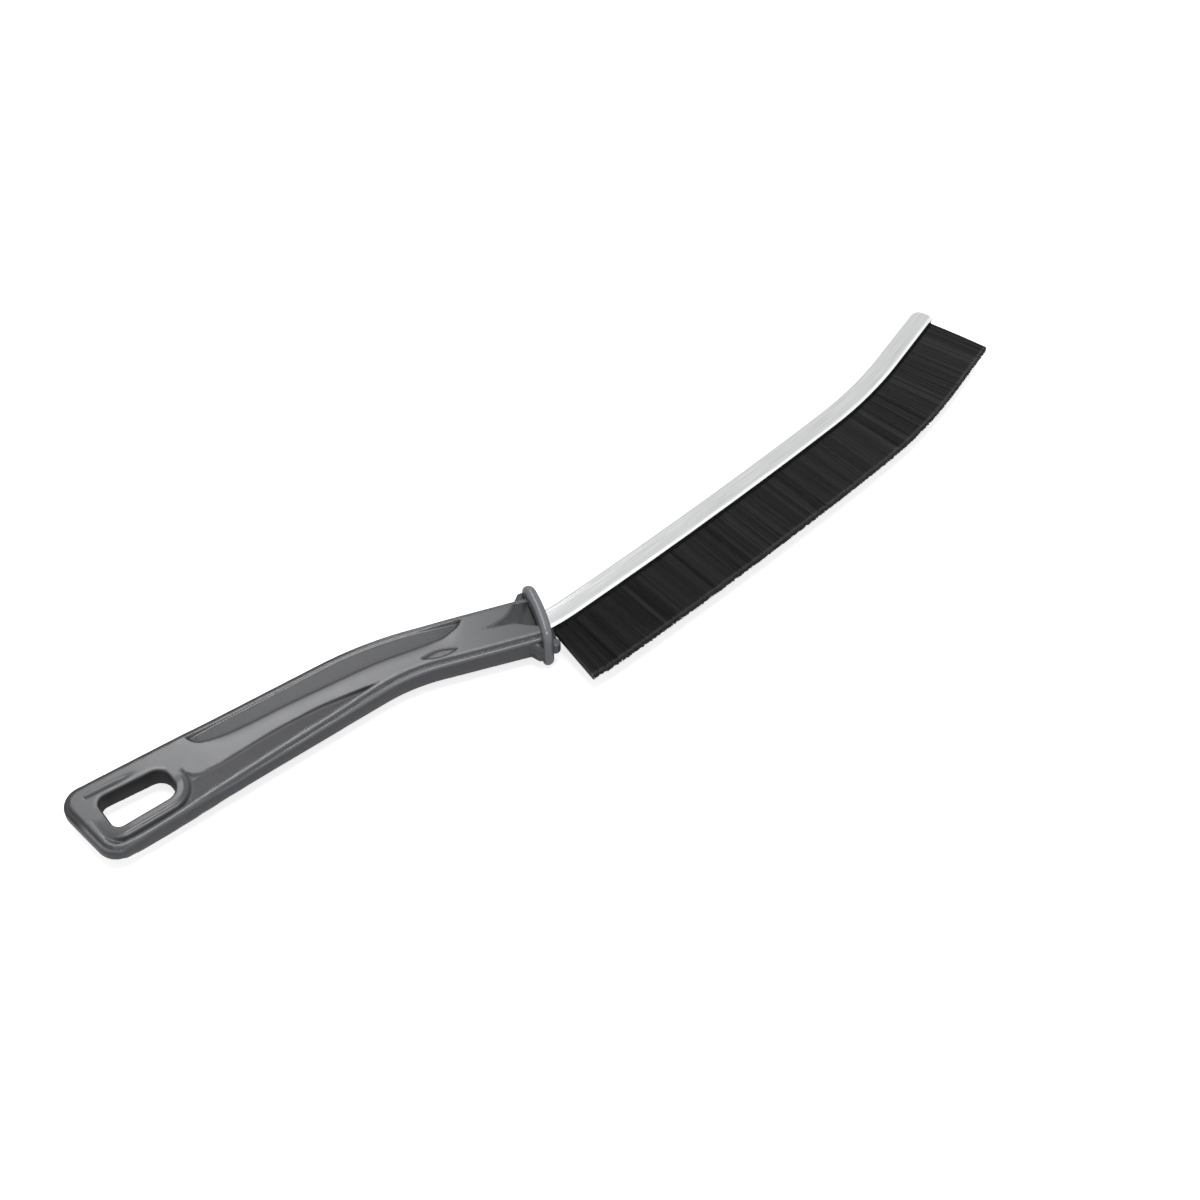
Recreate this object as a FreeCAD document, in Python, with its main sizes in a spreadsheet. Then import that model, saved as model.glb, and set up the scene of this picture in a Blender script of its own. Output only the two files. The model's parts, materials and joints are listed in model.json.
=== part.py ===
"""Crevice brush: a moulded handle, a curved metal channel, its core wire and the nylon bristles.

The brush lies on its side. The origin is on the pommel's middle line, halfway along the hang
slot and halfway through the thickness. +X runs from the pommel to the bristled tip, the bristles
point to -Y, and +Z is up through the thickness. Lengths are millimetres and angles are degrees.
"""
import FreeCAD, Part
import Sketcher
import math
import os

# Driving dimensions: name, value, meaning
SIZES = (
    ("slot_to_end", 12.9, "middle of the hang slot to the pommel's end"),
    ("pommel_width", 19.4, "pommel across, at its end"),
    ("pommel_corner", 4.5, "radius of the pommel's corners"),
    ("end_slant", 8.0, "lean of the pommel's end"),
    ("crest_x", 57.3, "bend of the upper edge, along the handle"),
    ("crest_rise", 5.5, "bend of the upper edge, above the pommel's middle line"),
    ("throat_x", 60.4, "bend of the lower edge, along the handle"),
    ("throat_drop", 8.5, "bend of the lower edge, below the pommel's middle line"),
    ("crest_round", 80.0, "radius of the upper edge's bend"),
    ("throat_round", 40.0, "radius of the lower edge's bend"),
    ("neck_angle", 18.5, "how far the neck dips from the grip"),
    ("neck_width", 12.2, "neck across, at the guard"),
    ("pommel_shoulder", 2.8, "thickness between the shoulders at the pommel"),
    ("neck_shoulder", 5.6, "thickness between the shoulders at the guard"),
    ("shoulder_round", 1.0, "rounding of the shoulders"),
    ("face_inset", 1.1, "shoulder to the raised face's edge"),
    ("face_rise", 0.75, "raised face above the shoulder"),
    ("face_round", 0.4, "rounding of the raised face's edge"),
    ("recess_depth", 0.7, "recesses below the raised face"),
    ("recess_tip", 0.35, "radius at the tips of the recesses"),
    ("recess_sweep", 9.0, "radius along the sides of the recesses"),
    ("slot_length", 14.8, "hang slot along the handle"),
    ("slot_low", 4.9, "lower edge of the hang slot, below the pommel's middle line"),
    ("slot_width", 8.75, "hang slot across, near the pommel's end"),
    ("slot_narrow", 7.65, "hang slot across, at its inner end"),
    ("slot_corner", 2.0, "corners of the slot near the pommel's end"),
    ("slot_nose", 3.0, "corners of the slot at its inner end"),
    ("ring_width", 1.2, "raised ring round the slot"),
    ("ring_rise", 0.3, "raised ring above the face"),
    ("guard_x", 92.1, "centre of the guard's front, along the handle"),
    ("guard_drop", 12.65, "centre of the guard's front, below the pommel's middle line"),
    ("guard_thickness", 2.8, "guard along the neck"),
    ("guard_width", 17.0, "guard across the bristles' plane"),
    ("guard_depth", 10.8, "guard through the thickness"),
    ("guard_flare", 1.6, "sloped back of the guard, down to the neck"),
    ("guard_corner", 2.4, "corners of the guard"),
    ("guard_rim", 0.9, "rounding of the guard's rim"),
    ("nose_radius", 1.2, "lug in front of the guard"),
    ("nose_depth", 2.8, "lug through the thickness"),
    ("nose_offset", 6.0, "lug below the guard's centre"),
    ("strip_dip", 3.0, "heading of the strip below +X where it leaves the guard"),
    ("root_bend_radius", 45.0, "bend of the strip in and at the guard"),
    ("root_bend_turn", 7.2, "turn of that bend outside the guard"),
    ("blade_length", 81.4, "long gentle stretch of the strip"),
    ("blade_turn", 3.4, "turn of the long stretch"),
    ("tip_bend_radius", 112.0, "bend before the tip"),
    ("tip_bend_turn", 12.9, "turn of the bend before the tip"),
    ("tip_straight", 18.3, "straight end of the strip"),
    ("socket_clearance", 0.04, "tang to socket, each side"),
    ("channel_height", 5.0, "channel from its back to its lips"),
    ("channel_thickness", 3.1, "channel across its sides"),
    ("channel_wall", 0.5, "sheet of the channel"),
    ("channel_round", 0.9, "outer radius of the channel's back"),
    ("crimp_height", 1.1, "part of the sides that is crimped in"),
    ("crimp_depth", 0.35, "how far the lips are crimped in"),
    ("tip_round", 2.6, "rounded back corner of the channel's tip"),
    ("wire_radius", 0.45, "core wire"),
    ("fold_layer", 0.4, "filaments between the wire and the channel's back"),
    ("pack_clearance", 0.04, "filaments to the channel and to the wire"),
    ("bristle_start", 0.1, "guard's centre to the first filaments, along the strip"),
    ("pack_end", 0.3, "clamped filaments and core wire to the channel's tip"),
    ("bristle_end", 1.3, "last free filaments to the channel's tip"),
    ("bristle_length", 15.4, "filaments beyond the lips"),
    ("tuft_thickness", 1.7, "free tufts through the thickness"),
    ("tuft_gap", 0.3, "between neighbouring tufts"),
    ("root_clearance", 0.25, "lips to the free tufts"),
    ("overrun", 3.0, "how far a cutting tool runs past what it cuts"),
)

# Counts, and shares of the sizes above
SECTION_COUNT = 7
TUFTS_PER_SECTION = 4
ROOT_ROUND_SHARE = 0.48
HINGE_SAMPLES = 24

# Recess outlines: places along an edge (0 at its start, 1 at its end) and across (0 low, 1 high),
# each with the radius that rounds it
TIP = "sizes.recess_tip"
SWEEP = "sizes.recess_sweep"
LONG_RECESS_GRIP_SHARES = (
    (0.38, 0.86, TIP),
    (0.43, 0.68, TIP),
    (0.70, 0.575, SWEEP),
    (0.94, 0.49, SWEEP),
)
LONG_RECESS_NECK_SHARES = ((0.31, 0.53, SWEEP), (0.53, 0.82, TIP))
LONG_RECESS_CREST_SHARE = 0.78
WEDGE_RECESS_SHARES = (
    (0.96, 0.12, TIP),
    (0.67, 0.34, SWEEP),
    (0.325, 0.37, TIP),
    (0.30, 0.20, TIP),
    (0.05, 0.19, TIP),
    (0.05, 0.12, TIP),
)
SCOOP_SHARES = (
    (0.545, 0.525, TIP),
    (0.72, 0.36, SWEEP),
    (0.88, 0.20, TIP),
    (0.88, 0.82, TIP),
    (0.79, 0.69, SWEEP),
    (0.67, 0.545, SWEEP),
)
DIMPLE_SHARES = (
    (0.12, 0.22, TIP),
    (0.25, 0.13, TIP),
    (0.41, 0.235, TIP),
    (0.285, 0.31, TIP),
)

# Degrees in a radian and in a right angle, and a sketch's own numbers for its origin and end points
RADIAN = math.degrees(1)
RIGHT_ANGLE = math.degrees(math.pi / 2)
ORIGIN = -1
START, END, CENTRE = range(1, 4)
UP = FreeCAD.Vector(0, 0, 1)

doc = FreeCAD.newDocument("crevice_brush")
sheet = doc.addObject("Spreadsheet::Sheet", "sizes")
for row, (alias, number, meaning) in enumerate(SIZES, 1):
    sheet.set(f"A{row}", meaning)
    sheet.set(f"B{row}", str(number))
    sheet.setAlias(f"B{row}", alias)
doc.recompute()


def value(expression):
    """Work out an expression in the sheet's sizes. A plain number stays as it is."""
    return float(sheet.evalExpression(str(expression)))


def between(first, second, share):
    """The place a share of the way from one place to another, as expressions."""
    return tuple(f"({a}) + {share} * (({b}) - ({a}))" for a, b in zip(first, second))


# Outlines
def unit(vector):
    return vector / vector.Length


def left_of(vector):
    return FreeCAD.Vector(-vector.y, vector.x, 0)


def meeting(first, along, second, across):
    """Where the line through first meets the line through second."""
    side = left_of(across)
    return first + along * ((second - first).dot(side) / along.dot(side))


def bind(sketch, constraint, expression):
    """Add a constraint and tie it to its expression. A plain number has nothing to be tied to."""
    row = sketch.addConstraint(constraint)
    if isinstance(expression, str):
        sketch.setExpression(f"Constraints[{row}]", expression)


def outline(sketch, corners, inset=None):
    """Draw a closed outline, anticlockwise. A corner is (x, y) or (x, y, radius), in expressions.

    With an inset, every side lies that far inside the line between its two corners.
    """
    count = len(corners)
    places = [FreeCAD.Vector(value(corner[0]), value(corner[1]), 0) for corner in corners]
    ways = [unit(places[(i + 1) % count] - places[i]) for i in range(count)]
    shift = value(inset) if inset else 0
    inner = [places[i] + left_of(ways[i]) * shift for i in range(count)]
    meets = [meeting(inner[i - 1], ways[i - 1], inner[i], ways[i]) for i in range(count)]
    starts = list(meets)
    ends = list(meets)
    arcs = {}
    for i, corner in enumerate(corners):
        if len(corner) == 2:
            continue
        radius = value(corner[2])
        turn = ways[i - 1].cross(ways[i]).z
        reach = radius * math.tan(ways[i - 1].getAngle(ways[i]) / 2)
        ends[i] = meets[i] - ways[i - 1] * reach
        starts[i] = meets[i] + ways[i] * reach
        centre = ends[i] + left_of(ways[i - 1]) * math.copysign(radius, turn)
        first, last = (ends[i], starts[i]) if turn > 0 else (starts[i], ends[i])
        spokes = [math.atan2(place.y - centre.y, place.x - centre.x) for place in (first, last)]
        circle = Part.Circle(centre, UP, radius)
        arcs[i] = (Part.ArcOfCircle(circle, *spokes), turn > 0)
    base = sketch.GeometryCount
    for i in range(count):
        sketch.addGeometry(Part.LineSegment(starts[i], ends[(i + 1) % count]))
    for i, corner in enumerate(corners):
        before = base + (i - 1) % count
        after = base + i
        if i not in arcs:
            sketch.addConstraint(Sketcher.Constraint("Coincident", before, END, after, START))
            continue
        arc, convex = arcs[i]
        curve = sketch.addGeometry(arc)
        near, far = (START, END) if convex else (END, START)
        sketch.addConstraint(Sketcher.Constraint("Tangent", before, END, curve, near))
        sketch.addConstraint(Sketcher.Constraint("Tangent", curve, far, after, START))
        bind(sketch, Sketcher.Constraint("Radius", curve, value(corner[2])), corner[2])
    for i, corner in enumerate(corners):
        before = base + (i - 1) % count
        after = base + i
        point = sketch.addGeometry(Part.Point(places[i]), True)
        for kind, expression in zip(("DistanceX", "DistanceY"), corner):
            pin = Sketcher.Constraint(kind, ORIGIN, START, point, START, value(expression))
            bind(sketch, pin, expression)
        for line in (before, after):
            if inset:
                bind(sketch, Sketcher.Constraint("Distance", point, START, line, shift), inset)
            else:
                sketch.addConstraint(Sketcher.Constraint("PointOnObject", point, START, line))


# Features
def new_body(name):
    return doc.addObject("PartDesign::Body", name)


def sketch_in(body, plane, name):
    sketch = body.newObject("Sketcher::SketchObject", name)
    support = [item for item in body.Origin.OriginFeatures if item.Role == plane]
    sketch.AttachmentSupport = [(support[0], "")]
    sketch.MapMode = "FlatFace"
    return sketch


def pad(body, sketch, length, symmetric):
    feature = body.newObject("PartDesign::Pad", body.Name + "_pad")
    feature.Profile = sketch
    feature.SideType = "Symmetric" if symmetric else "One side"
    feature.setExpression("Length", length)
    return feature


def fillet(body, base, edges, radius):
    feature = body.newObject("PartDesign::Fillet", body.Name + "_fillet")
    feature.Base = (base, edges)
    feature.setExpression("Radius", radius)
    return feature


def edges_where(shape, test):
    return [f"Edge{i}" for i, edge in enumerate(shape.Edges, 1) if test(edge)]


def prism(name, outlines, thickness):
    """Closed outlines in the plane of the brush, raised the same way up and down."""
    sketch = doc.addObject("Sketcher::SketchObject", name + "_sketch")
    for corners in outlines:
        outline(sketch, corners)
    feature = doc.addObject("Part::Extrusion", name)
    feature.Base = sketch
    feature.DirMode = "Custom"
    feature.Dir = UP
    feature.Solid = True
    feature.Symmetric = True
    feature.setExpression("LengthFwd", thickness)
    return feature


def fuse(name, shapes):
    feature = doc.addObject("Part::MultiFuse", name)
    feature.Shapes = shapes
    return feature


def cut(name, base, tool):
    feature = doc.addObject("Part::Cut", name)
    feature.Base = base
    feature.Tool = tool
    return feature


def place(feature, x, y, turn=None):
    """Put a feature at a place in the plane of the brush, turned about +Z."""
    feature.Placement = FreeCAD.Placement(FreeCAD.Vector(), FreeCAD.Rotation(UP, 0))
    feature.setExpression("Placement.Base.x", x)
    feature.setExpression("Placement.Base.y", y)
    if turn:
        feature.setExpression("Placement.Rotation.Angle", turn)


# Handle: key places of its outline
END_LEAN = "sizes.pommel_width / 2 * tan(sizes.end_slant)"
END_TOP = (f"-sizes.slot_to_end - {END_LEAN}", "sizes.pommel_width / 2")
END_BOTTOM = (f"-sizes.slot_to_end + {END_LEAN}", "-sizes.pommel_width / 2")
CREST = ("sizes.crest_x", "sizes.crest_rise")
THROAT = ("sizes.throat_x", "-sizes.throat_drop")
NECK_END_X = "sizes.guard_x - sizes.guard_thickness / 2 * cos(sizes.neck_angle)"
NECK_END_Y = "-sizes.guard_drop + sizes.guard_thickness / 2 * sin(sizes.neck_angle)"
HALF_NECK_X = "sizes.neck_width / 2 * sin(sizes.neck_angle)"
HALF_NECK_Y = "sizes.neck_width / 2 * cos(sizes.neck_angle)"
NECK_TOP = (f"{NECK_END_X} + {HALF_NECK_X}", f"{NECK_END_Y} + {HALF_NECK_Y}")
NECK_BOTTOM = (f"{NECK_END_X} - {HALF_NECK_X}", f"{NECK_END_Y} - {HALF_NECK_Y}")
TAPER_START = "-sizes.slot_to_end - sizes.overrun"
TAPER_END = "sizes.guard_x + sizes.overrun"
TALL = "sizes.guard_depth + sizes.overrun"


def on_grip(along, across, radius):
    """A rounded corner on the grip, between its lower and its upper edge."""
    low = between(END_BOTTOM, THROAT, along)
    high = between(END_TOP, CREST, along)
    return between(low, high, across) + (radius,)


def on_neck(along, across, radius):
    """A rounded corner on the neck, between its lower and its upper edge."""
    low = between(THROAT, NECK_BOTTOM, along)
    high = between(CREST, NECK_TOP, along)
    return between(low, high, across) + (radius,)


def taper_corners(extra, side):
    """The wedge of space beyond one of the handle's tapered faces, raised by extra."""
    near = f"{side} * (sizes.pommel_shoulder / 2 + {extra})"
    far = f"{side} * (sizes.neck_shoulder / 2 + {extra})"
    top = f"{side} * ({TALL})"
    corners = [(TAPER_START, near), (TAPER_END, far), (TAPER_END, top), (TAPER_START, top)]
    return corners if side > 0 else corners[::-1]


def tapered_slab(name, inset, extra, rounding):
    """The handle's outline between its two tapered faces, with rounded edges."""
    shrink = f" - {inset}" if inset else ""
    grow = f" + {inset}" if inset else ""
    corners = [
        END_BOTTOM + ("sizes.pommel_corner" + shrink,),
        THROAT + ("sizes.throat_round" + grow,),
        NECK_BOTTOM,
        NECK_TOP,
        CREST + ("sizes.crest_round" + shrink,),
        END_TOP + ("sizes.pommel_corner" + shrink,),
    ]
    body = new_body(name)
    plan = sketch_in(body, "XY_Plane", name + "_plan")
    outline(plan, corners, inset)
    blank = pad(body, plan, TALL, True)
    side = sketch_in(body, "XZ_Plane", name + "_side")
    for way in (1, -1):
        outline(side, taper_corners(extra, way))
    pocket = body.newObject("PartDesign::Pocket", name + "_taper")
    pocket.Profile = side
    pocket.Type = "ThroughAll"
    pocket.SideType = "Symmetric"
    doc.recompute()
    if not pocket.Shape.Volume < blank.Shape.Volume:
        raise RuntimeError(f"{name}: the taper cut nothing")
    neck_end = FreeCAD.Vector(value(NECK_END_X), value(NECK_END_Y), 0)
    neck_way = FreeCAD.Vector(value("cos(sizes.neck_angle)"), -value("sin(sizes.neck_angle)"), 0)
    reach = value(inset) if inset else 0
    near = value("sizes.guard_thickness / 2")

    def on_rim(edge):
        upright = edge.BoundBox.ZLength > edge.Length / 2
        at_guard = (neck_end - edge.CenterOfMass).dot(neck_way) < reach + near
        return not upright and not at_guard

    fillet(body, pocket, edges_where(pocket.Shape, on_rim), rounding)
    doc.recompute()
    return body


def slot_corners(margin):
    """The hang slot's outline, grown by a margin. Its lower edge runs along the handle."""
    half = f"(sizes.slot_length / 2 + {margin})"
    low = f"-(sizes.slot_low + {margin})"
    wide = f"sizes.slot_width - sizes.slot_low + {margin}"
    narrow = f"sizes.slot_narrow - sizes.slot_low + {margin}"
    return [
        (f"-{half}", low, f"sizes.slot_corner + {margin}"),
        (half, low, f"sizes.slot_nose + {margin}"),
        (half, narrow, f"sizes.slot_nose + {margin}"),
        (f"-{half}", wide, f"sizes.slot_corner + {margin}"),
    ]


def make_recesses():
    """The four recesses of each face, cut down to a floor that follows the taper."""
    long_recess = [on_grip(*shares) for shares in LONG_RECESS_GRIP_SHARES]
    long_recess += [on_neck(*shares) for shares in LONG_RECESS_NECK_SHARES]
    long_recess.append(between(THROAT, CREST, LONG_RECESS_CREST_SHARE) + (SWEEP,))
    wedge_recess = [on_grip(*shares) for shares in WEDGE_RECESS_SHARES]
    scoop = [on_neck(*shares) for shares in SCOOP_SHARES]
    dimple = [on_neck(*shares) for shares in DIMPLE_SHARES]
    prisms = prism("recess_prisms", (long_recess, wedge_recess, scoop, dimple), TALL)
    floor = new_body("recess_floor")
    side = sketch_in(floor, "XZ_Plane", "recess_floor_side")
    depth = "sizes.face_rise - sizes.recess_depth"
    low = f"sizes.pommel_shoulder / 2 + {depth}"
    high = f"sizes.neck_shoulder / 2 + {depth}"
    corners = [
        (TAPER_START, f"-({low})"),
        (TAPER_END, f"-({high})"),
        (TAPER_END, high),
        (TAPER_START, low),
    ]
    outline(side, corners)
    pad(floor, side, "2 * (sizes.guard_x + sizes.overrun)", True)
    return cut("recesses", prisms, floor)


def make_guard():
    """The flange between the neck and the bristles."""
    body = new_body("guard")
    plan = sketch_in(body, "YZ_Plane", "guard_plan")
    wide = "sizes.guard_width / 2"
    deep = "sizes.guard_depth / 2"
    signs = (("-", "-"), ("", "-"), ("", ""), ("-", ""))
    outline(plan, [(across + wide, up + deep, "sizes.guard_corner") for across, up in signs])
    blank = pad(body, plan, "sizes.guard_thickness + sizes.guard_flare", False)
    blank.Reversed = True
    doc.recompute()
    middle = -value("sizes.guard_thickness") / 2
    flare = body.newObject("PartDesign::Chamfer", "guard_back")
    flare.Base = (blank, edges_where(blank.Shape, lambda edge: edge.BoundBox.XMax < middle))
    flare.setExpression("Size", "sizes.guard_flare")
    doc.recompute()
    back = -value("sizes.guard_thickness + sizes.guard_flare / 2")

    def on_rim(edge):
        return edge.BoundBox.XMin > back and edge.BoundBox.XLength < abs(middle)

    fillet(body, flare, edges_where(flare.Shape, on_rim), "sizes.guard_rim")
    place(body, "sizes.guard_x", "-sizes.guard_drop", "-sizes.neck_angle")
    return body


def make_nose():
    """The lug below the strip, in front of the guard."""
    nose = doc.addObject("Part::Cylinder", "nose")
    nose.setExpression("Radius", "sizes.nose_radius")
    nose.setExpression("Height", "sizes.nose_depth")
    along = "sizes.guard_x - sizes.nose_offset * sin(sizes.neck_angle)"
    across = "-sizes.guard_drop - sizes.nose_offset * cos(sizes.neck_angle)"
    place(nose, along, across)
    nose.setExpression("Placement.Base.z", "-sizes.nose_depth / 2")
    return nose


def make_socket():
    """The curved slot in the neck that takes the strip's tang, on the tang's own arc."""
    reach = "sizes.channel_height / 2 + sizes.socket_clearance"
    depth = "sizes.channel_thickness + 2 * sizes.socket_clearance"
    lead = f"{RADIAN} * sizes.overrun / sizes.root_bend_radius"
    seat = f"{RADIAN} * sizes.socket_clearance / sizes.root_bend_radius"
    rings = []
    for name, side in (("socket_outer", "+"), ("socket_inner", "-")):
        ring = doc.addObject("Part::Cylinder", name)
        ring.setExpression("Radius", f"sizes.root_bend_radius {side} ({reach})")
        ring.setExpression("Height", depth)
        rings.append(ring)
    rings[0].setExpression("Angle", f"sizes.neck_angle - sizes.strip_dip + {seat} + {lead}")
    for ring in rings:
        place(ring, BEND_X, BEND_Y, f"-{RIGHT_ANGLE} - sizes.neck_angle - {seat}")
        ring.setExpression("Placement.Base.z", f"-({depth}) / 2")
    return cut("socket", *rings)


def make_handle():
    core = tapered_slab("handle_core", None, "0", "sizes.shoulder_round")
    face = tapered_slab("handle_face", "sizes.face_inset", "sizes.face_rise", "sizes.face_round")
    at_slot = f"({TAPER_START}) / (({TAPER_START}) - ({TAPER_END}))"
    swell = f"(sizes.neck_shoulder - sizes.pommel_shoulder) * {at_slot}"
    ring_thickness = f"sizes.pommel_shoulder + {swell} + 2 * (sizes.face_rise + sizes.ring_rise)"
    ring = prism("slot_ring", [slot_corners("sizes.ring_width")], ring_thickness)
    blank = fuse("handle_blank", [core, face, ring, make_guard(), make_nose()])
    slot = prism("hang_slot", [slot_corners("0")], TALL)
    tools = fuse("handle_cuts", [make_recesses(), slot, make_socket()])
    return cut("handle", blank, tools)


# Strip: its path is an arc out of the handle, a long gentle arc, a tip bend and a straight end
BEND_X = "sizes.guard_x + sizes.root_bend_radius * sin(sizes.strip_dip)"
BEND_Y = "-sizes.guard_drop + sizes.root_bend_radius * cos(sizes.strip_dip)"
BLADE_RADIUS = f"{RADIAN} * sizes.blade_length / sizes.blade_turn"


def path_arcs(first_turn):
    """Radius and turn of each arc of the strip's path, as expressions."""
    return (
        ("sizes.root_bend_radius", first_turn),
        (BLADE_RADIUS, "sizes.blade_turn"),
        ("sizes.tip_bend_radius", "sizes.tip_bend_turn"),
    )


def draw_path(sketch, first_turn):
    """Draw the path from the sketch's origin, setting off along its x axis."""
    here = FreeCAD.Vector()
    heading = 0.0
    last = None
    for radius, turn in path_arcs(first_turn):
        size = value(radius)
        angle = math.radians(value(turn))
        centre = here + FreeCAD.Vector(-math.sin(heading), math.cos(heading), 0) * size
        begin = heading - math.pi / 2
        circle = Part.Circle(centre, UP, size)
        arc = sketch.addGeometry(Part.ArcOfCircle(circle, begin, begin + angle))
        if last is None:
            sketch.addConstraint(Sketcher.Constraint("Coincident", arc, START, ORIGIN, START))
            sketch.addConstraint(Sketcher.Constraint("Vertical", ORIGIN, START, arc, CENTRE))
        else:
            sketch.addConstraint(Sketcher.Constraint("Tangent", last, END, arc, START))
        bind(sketch, Sketcher.Constraint("Radius", arc, size), radius)
        bind(sketch, Sketcher.Constraint("Angle", arc, angle), turn)
        heading += angle
        here = centre + FreeCAD.Vector(math.sin(heading), -math.cos(heading), 0) * size
        last = arc
    length = value("sizes.tip_straight")
    finish = here + FreeCAD.Vector(math.cos(heading), math.sin(heading), 0) * length
    line = sketch.addGeometry(Part.LineSegment(here, finish))
    sketch.addConstraint(Sketcher.Constraint("Tangent", last, END, line, START))
    bind(sketch, Sketcher.Constraint("Distance", line, length), "sizes.tip_straight")


START_TURN = f"{RADIAN} * sizes.bristle_start / sizes.root_bend_radius"
TANG_TURN = "sizes.neck_angle - sizes.strip_dip + sizes.root_bend_turn"
BRISTLED_TURN = f"sizes.root_bend_turn - {START_TURN}"


def swept(name, draw_section, tang):
    """Sweep a section along the strip's path, with or without the tang."""
    body = new_body(name)
    path = sketch_in(body, "XY_Plane", name + "_path")
    draw_path(path, TANG_TURN if tang else BRISTLED_TURN)
    section = sketch_in(body, "YZ_Plane", name + "_section")
    draw_section(section)
    doc.recompute()
    pipe = body.newObject("PartDesign::AdditivePipe", name + "_pipe")
    pipe.Profile = section
    pipe.Spine = path
    lean = "sizes.neck_angle" if tang else f"(sizes.strip_dip - {START_TURN})"
    along = f"{BEND_X} - sizes.root_bend_radius * sin({lean})"
    across = f"{BEND_Y} - sizes.root_bend_radius * cos({lean})"
    place(body, along, across, f"-({lean})")
    return body


HALF_HEIGHT = "sizes.channel_height / 2"
HALF_THICKNESS = "sizes.channel_thickness / 2"
CRIMP_LINE = f"-{HALF_HEIGHT} + sizes.crimp_height"
WIRE_PLACE = f"{HALF_HEIGHT} - sizes.channel_wall - sizes.fold_layer - sizes.wire_radius"


def mirrored(low_side):
    """Close an outline by mirroring its lower half, taken from the lips to the back."""
    high_side = [(corner[0], f"-({corner[1]})") + corner[2:] for corner in low_side]
    return low_side + high_side[::-1]


def draw_channel(sketch):
    """A folded sheet with a rounded back and crimped lips."""
    inner = f"-({HALF_THICKNESS} - sizes.channel_wall)"
    outer = f"-{HALF_THICKNESS}"
    inner_round = "sizes.channel_round - sizes.channel_wall"
    outside = [
        (f"-{HALF_HEIGHT}", f"{outer} + sizes.crimp_depth"),
        (CRIMP_LINE, outer),
        (HALF_HEIGHT, outer, "sizes.channel_round"),
    ]
    inside = [
        (f"-{HALF_HEIGHT}", f"{inner} + sizes.crimp_depth"),
        (CRIMP_LINE, inner),
        (f"{HALF_HEIGHT} - sizes.channel_wall", inner, inner_round),
    ]
    outer_half = mirrored(outside)
    inner_half = mirrored(inside)
    outline(sketch, outer_half + inner_half[::-1])


def draw_wire(sketch):
    circle = Part.Circle(FreeCAD.Vector(value(WIRE_PLACE), 0, 0), UP, value("sizes.wire_radius"))
    draw_round(sketch, circle, "sizes.wire_radius")


def draw_round(sketch, circle, radius):
    """A circle on the wire's centre line."""
    ring = sketch.addGeometry(circle)
    bind(sketch, Sketcher.Constraint("Radius", ring, value(radius)), radius)
    pin = Sketcher.Constraint("DistanceX", ORIGIN, START, ring, CENTRE, value(WIRE_PLACE))
    bind(sketch, pin, WIRE_PLACE)
    sketch.addConstraint(Sketcher.Constraint("PointOnObject", ring, CENTRE, ORIGIN))


def draw_pack(sketch):
    """The filaments inside the channel, folded round the wire and held by the lips."""
    side = f"-({HALF_THICKNESS} - sizes.channel_wall - sizes.pack_clearance)"
    back = f"{HALF_HEIGHT} - sizes.channel_wall - sizes.pack_clearance"
    half = [
        (f"-{HALF_HEIGHT}", f"{side} + sizes.crimp_depth"),
        (CRIMP_LINE, side),
        (back, side, "sizes.channel_round - sizes.channel_wall"),
    ]
    outline(sketch, mirrored(half))
    radius = "sizes.wire_radius + sizes.pack_clearance"
    circle = Part.Circle(FreeCAD.Vector(value(WIRE_PLACE), 0, 0), UP, value(radius))
    draw_round(sketch, circle, radius)


def strip_point(distance):
    """Centre and heading (radians) of the strip, a distance along it from the guard."""
    heading = -math.radians(value("sizes.strip_dip"))
    here = FreeCAD.Vector(value("sizes.guard_x"), -value("sizes.guard_drop"), 0)
    left = distance
    for radius, turn in path_arcs("sizes.root_bend_turn"):
        size = value(radius)
        angle = min(math.radians(value(turn)), left / size)
        centre = here + FreeCAD.Vector(-math.sin(heading), math.cos(heading), 0) * size
        heading += angle
        here = centre + FreeCAD.Vector(math.sin(heading), -math.cos(heading), 0) * size
        left -= angle * size
    return here + FreeCAD.Vector(math.cos(heading), math.sin(heading), 0) * left, heading


def strip_length():
    """Length of the strip outside the guard."""
    length = value("sizes.tip_straight")
    for radius, turn in path_arcs("sizes.root_bend_turn"):
        length += value(radius) * math.radians(value(turn))
    return length


def trimmed(name, blank, inset):
    """Cut a swept piece short of the strip's tip by an inset, with the back corner rounded off."""
    trim = new_body(name + "_trim")
    plan = sketch_in(trim, "XY_Plane", name + "_trim_plan")
    back = "-sizes.tip_round - sizes.overrun"
    end = f"-({inset})"
    edge = f"{HALF_HEIGHT} - {inset}"
    low = f"-{HALF_HEIGHT} - sizes.overrun"
    high = f"{HALF_HEIGHT} + sizes.overrun"
    corners = [
        (back, edge),
        (end, edge, f"sizes.tip_round - {inset}"),
        (end, low),
        ("sizes.overrun", low),
        ("sizes.overrun", high),
        (back, high),
    ]
    outline(plan, corners)
    pad(trim, plan, "sizes.channel_thickness + sizes.overrun", True)
    tip, heading = strip_point(strip_length())
    trim.Placement = FreeCAD.Placement(tip, FreeCAD.Rotation(UP, math.degrees(heading)))
    return cut(name, blank, trim)


# Bristles: each section of tufts bends about a line just outside the lips
def lip(distance):
    """The lips' edge, and the way the filaments point there."""
    centre, heading = strip_point(distance)
    outward = FreeCAD.Vector(math.sin(heading), -math.cos(heading), 0)
    return centre + outward * value(HALF_HEIGHT), outward


def section_ends(index):
    """Where a section starts and stops, along the strip."""
    start = value("sizes.bristle_start")
    step = (strip_length() - value("sizes.bristle_end") - start) / SECTION_COUNT
    return start + index * step, start + (index + 1) * step


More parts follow.
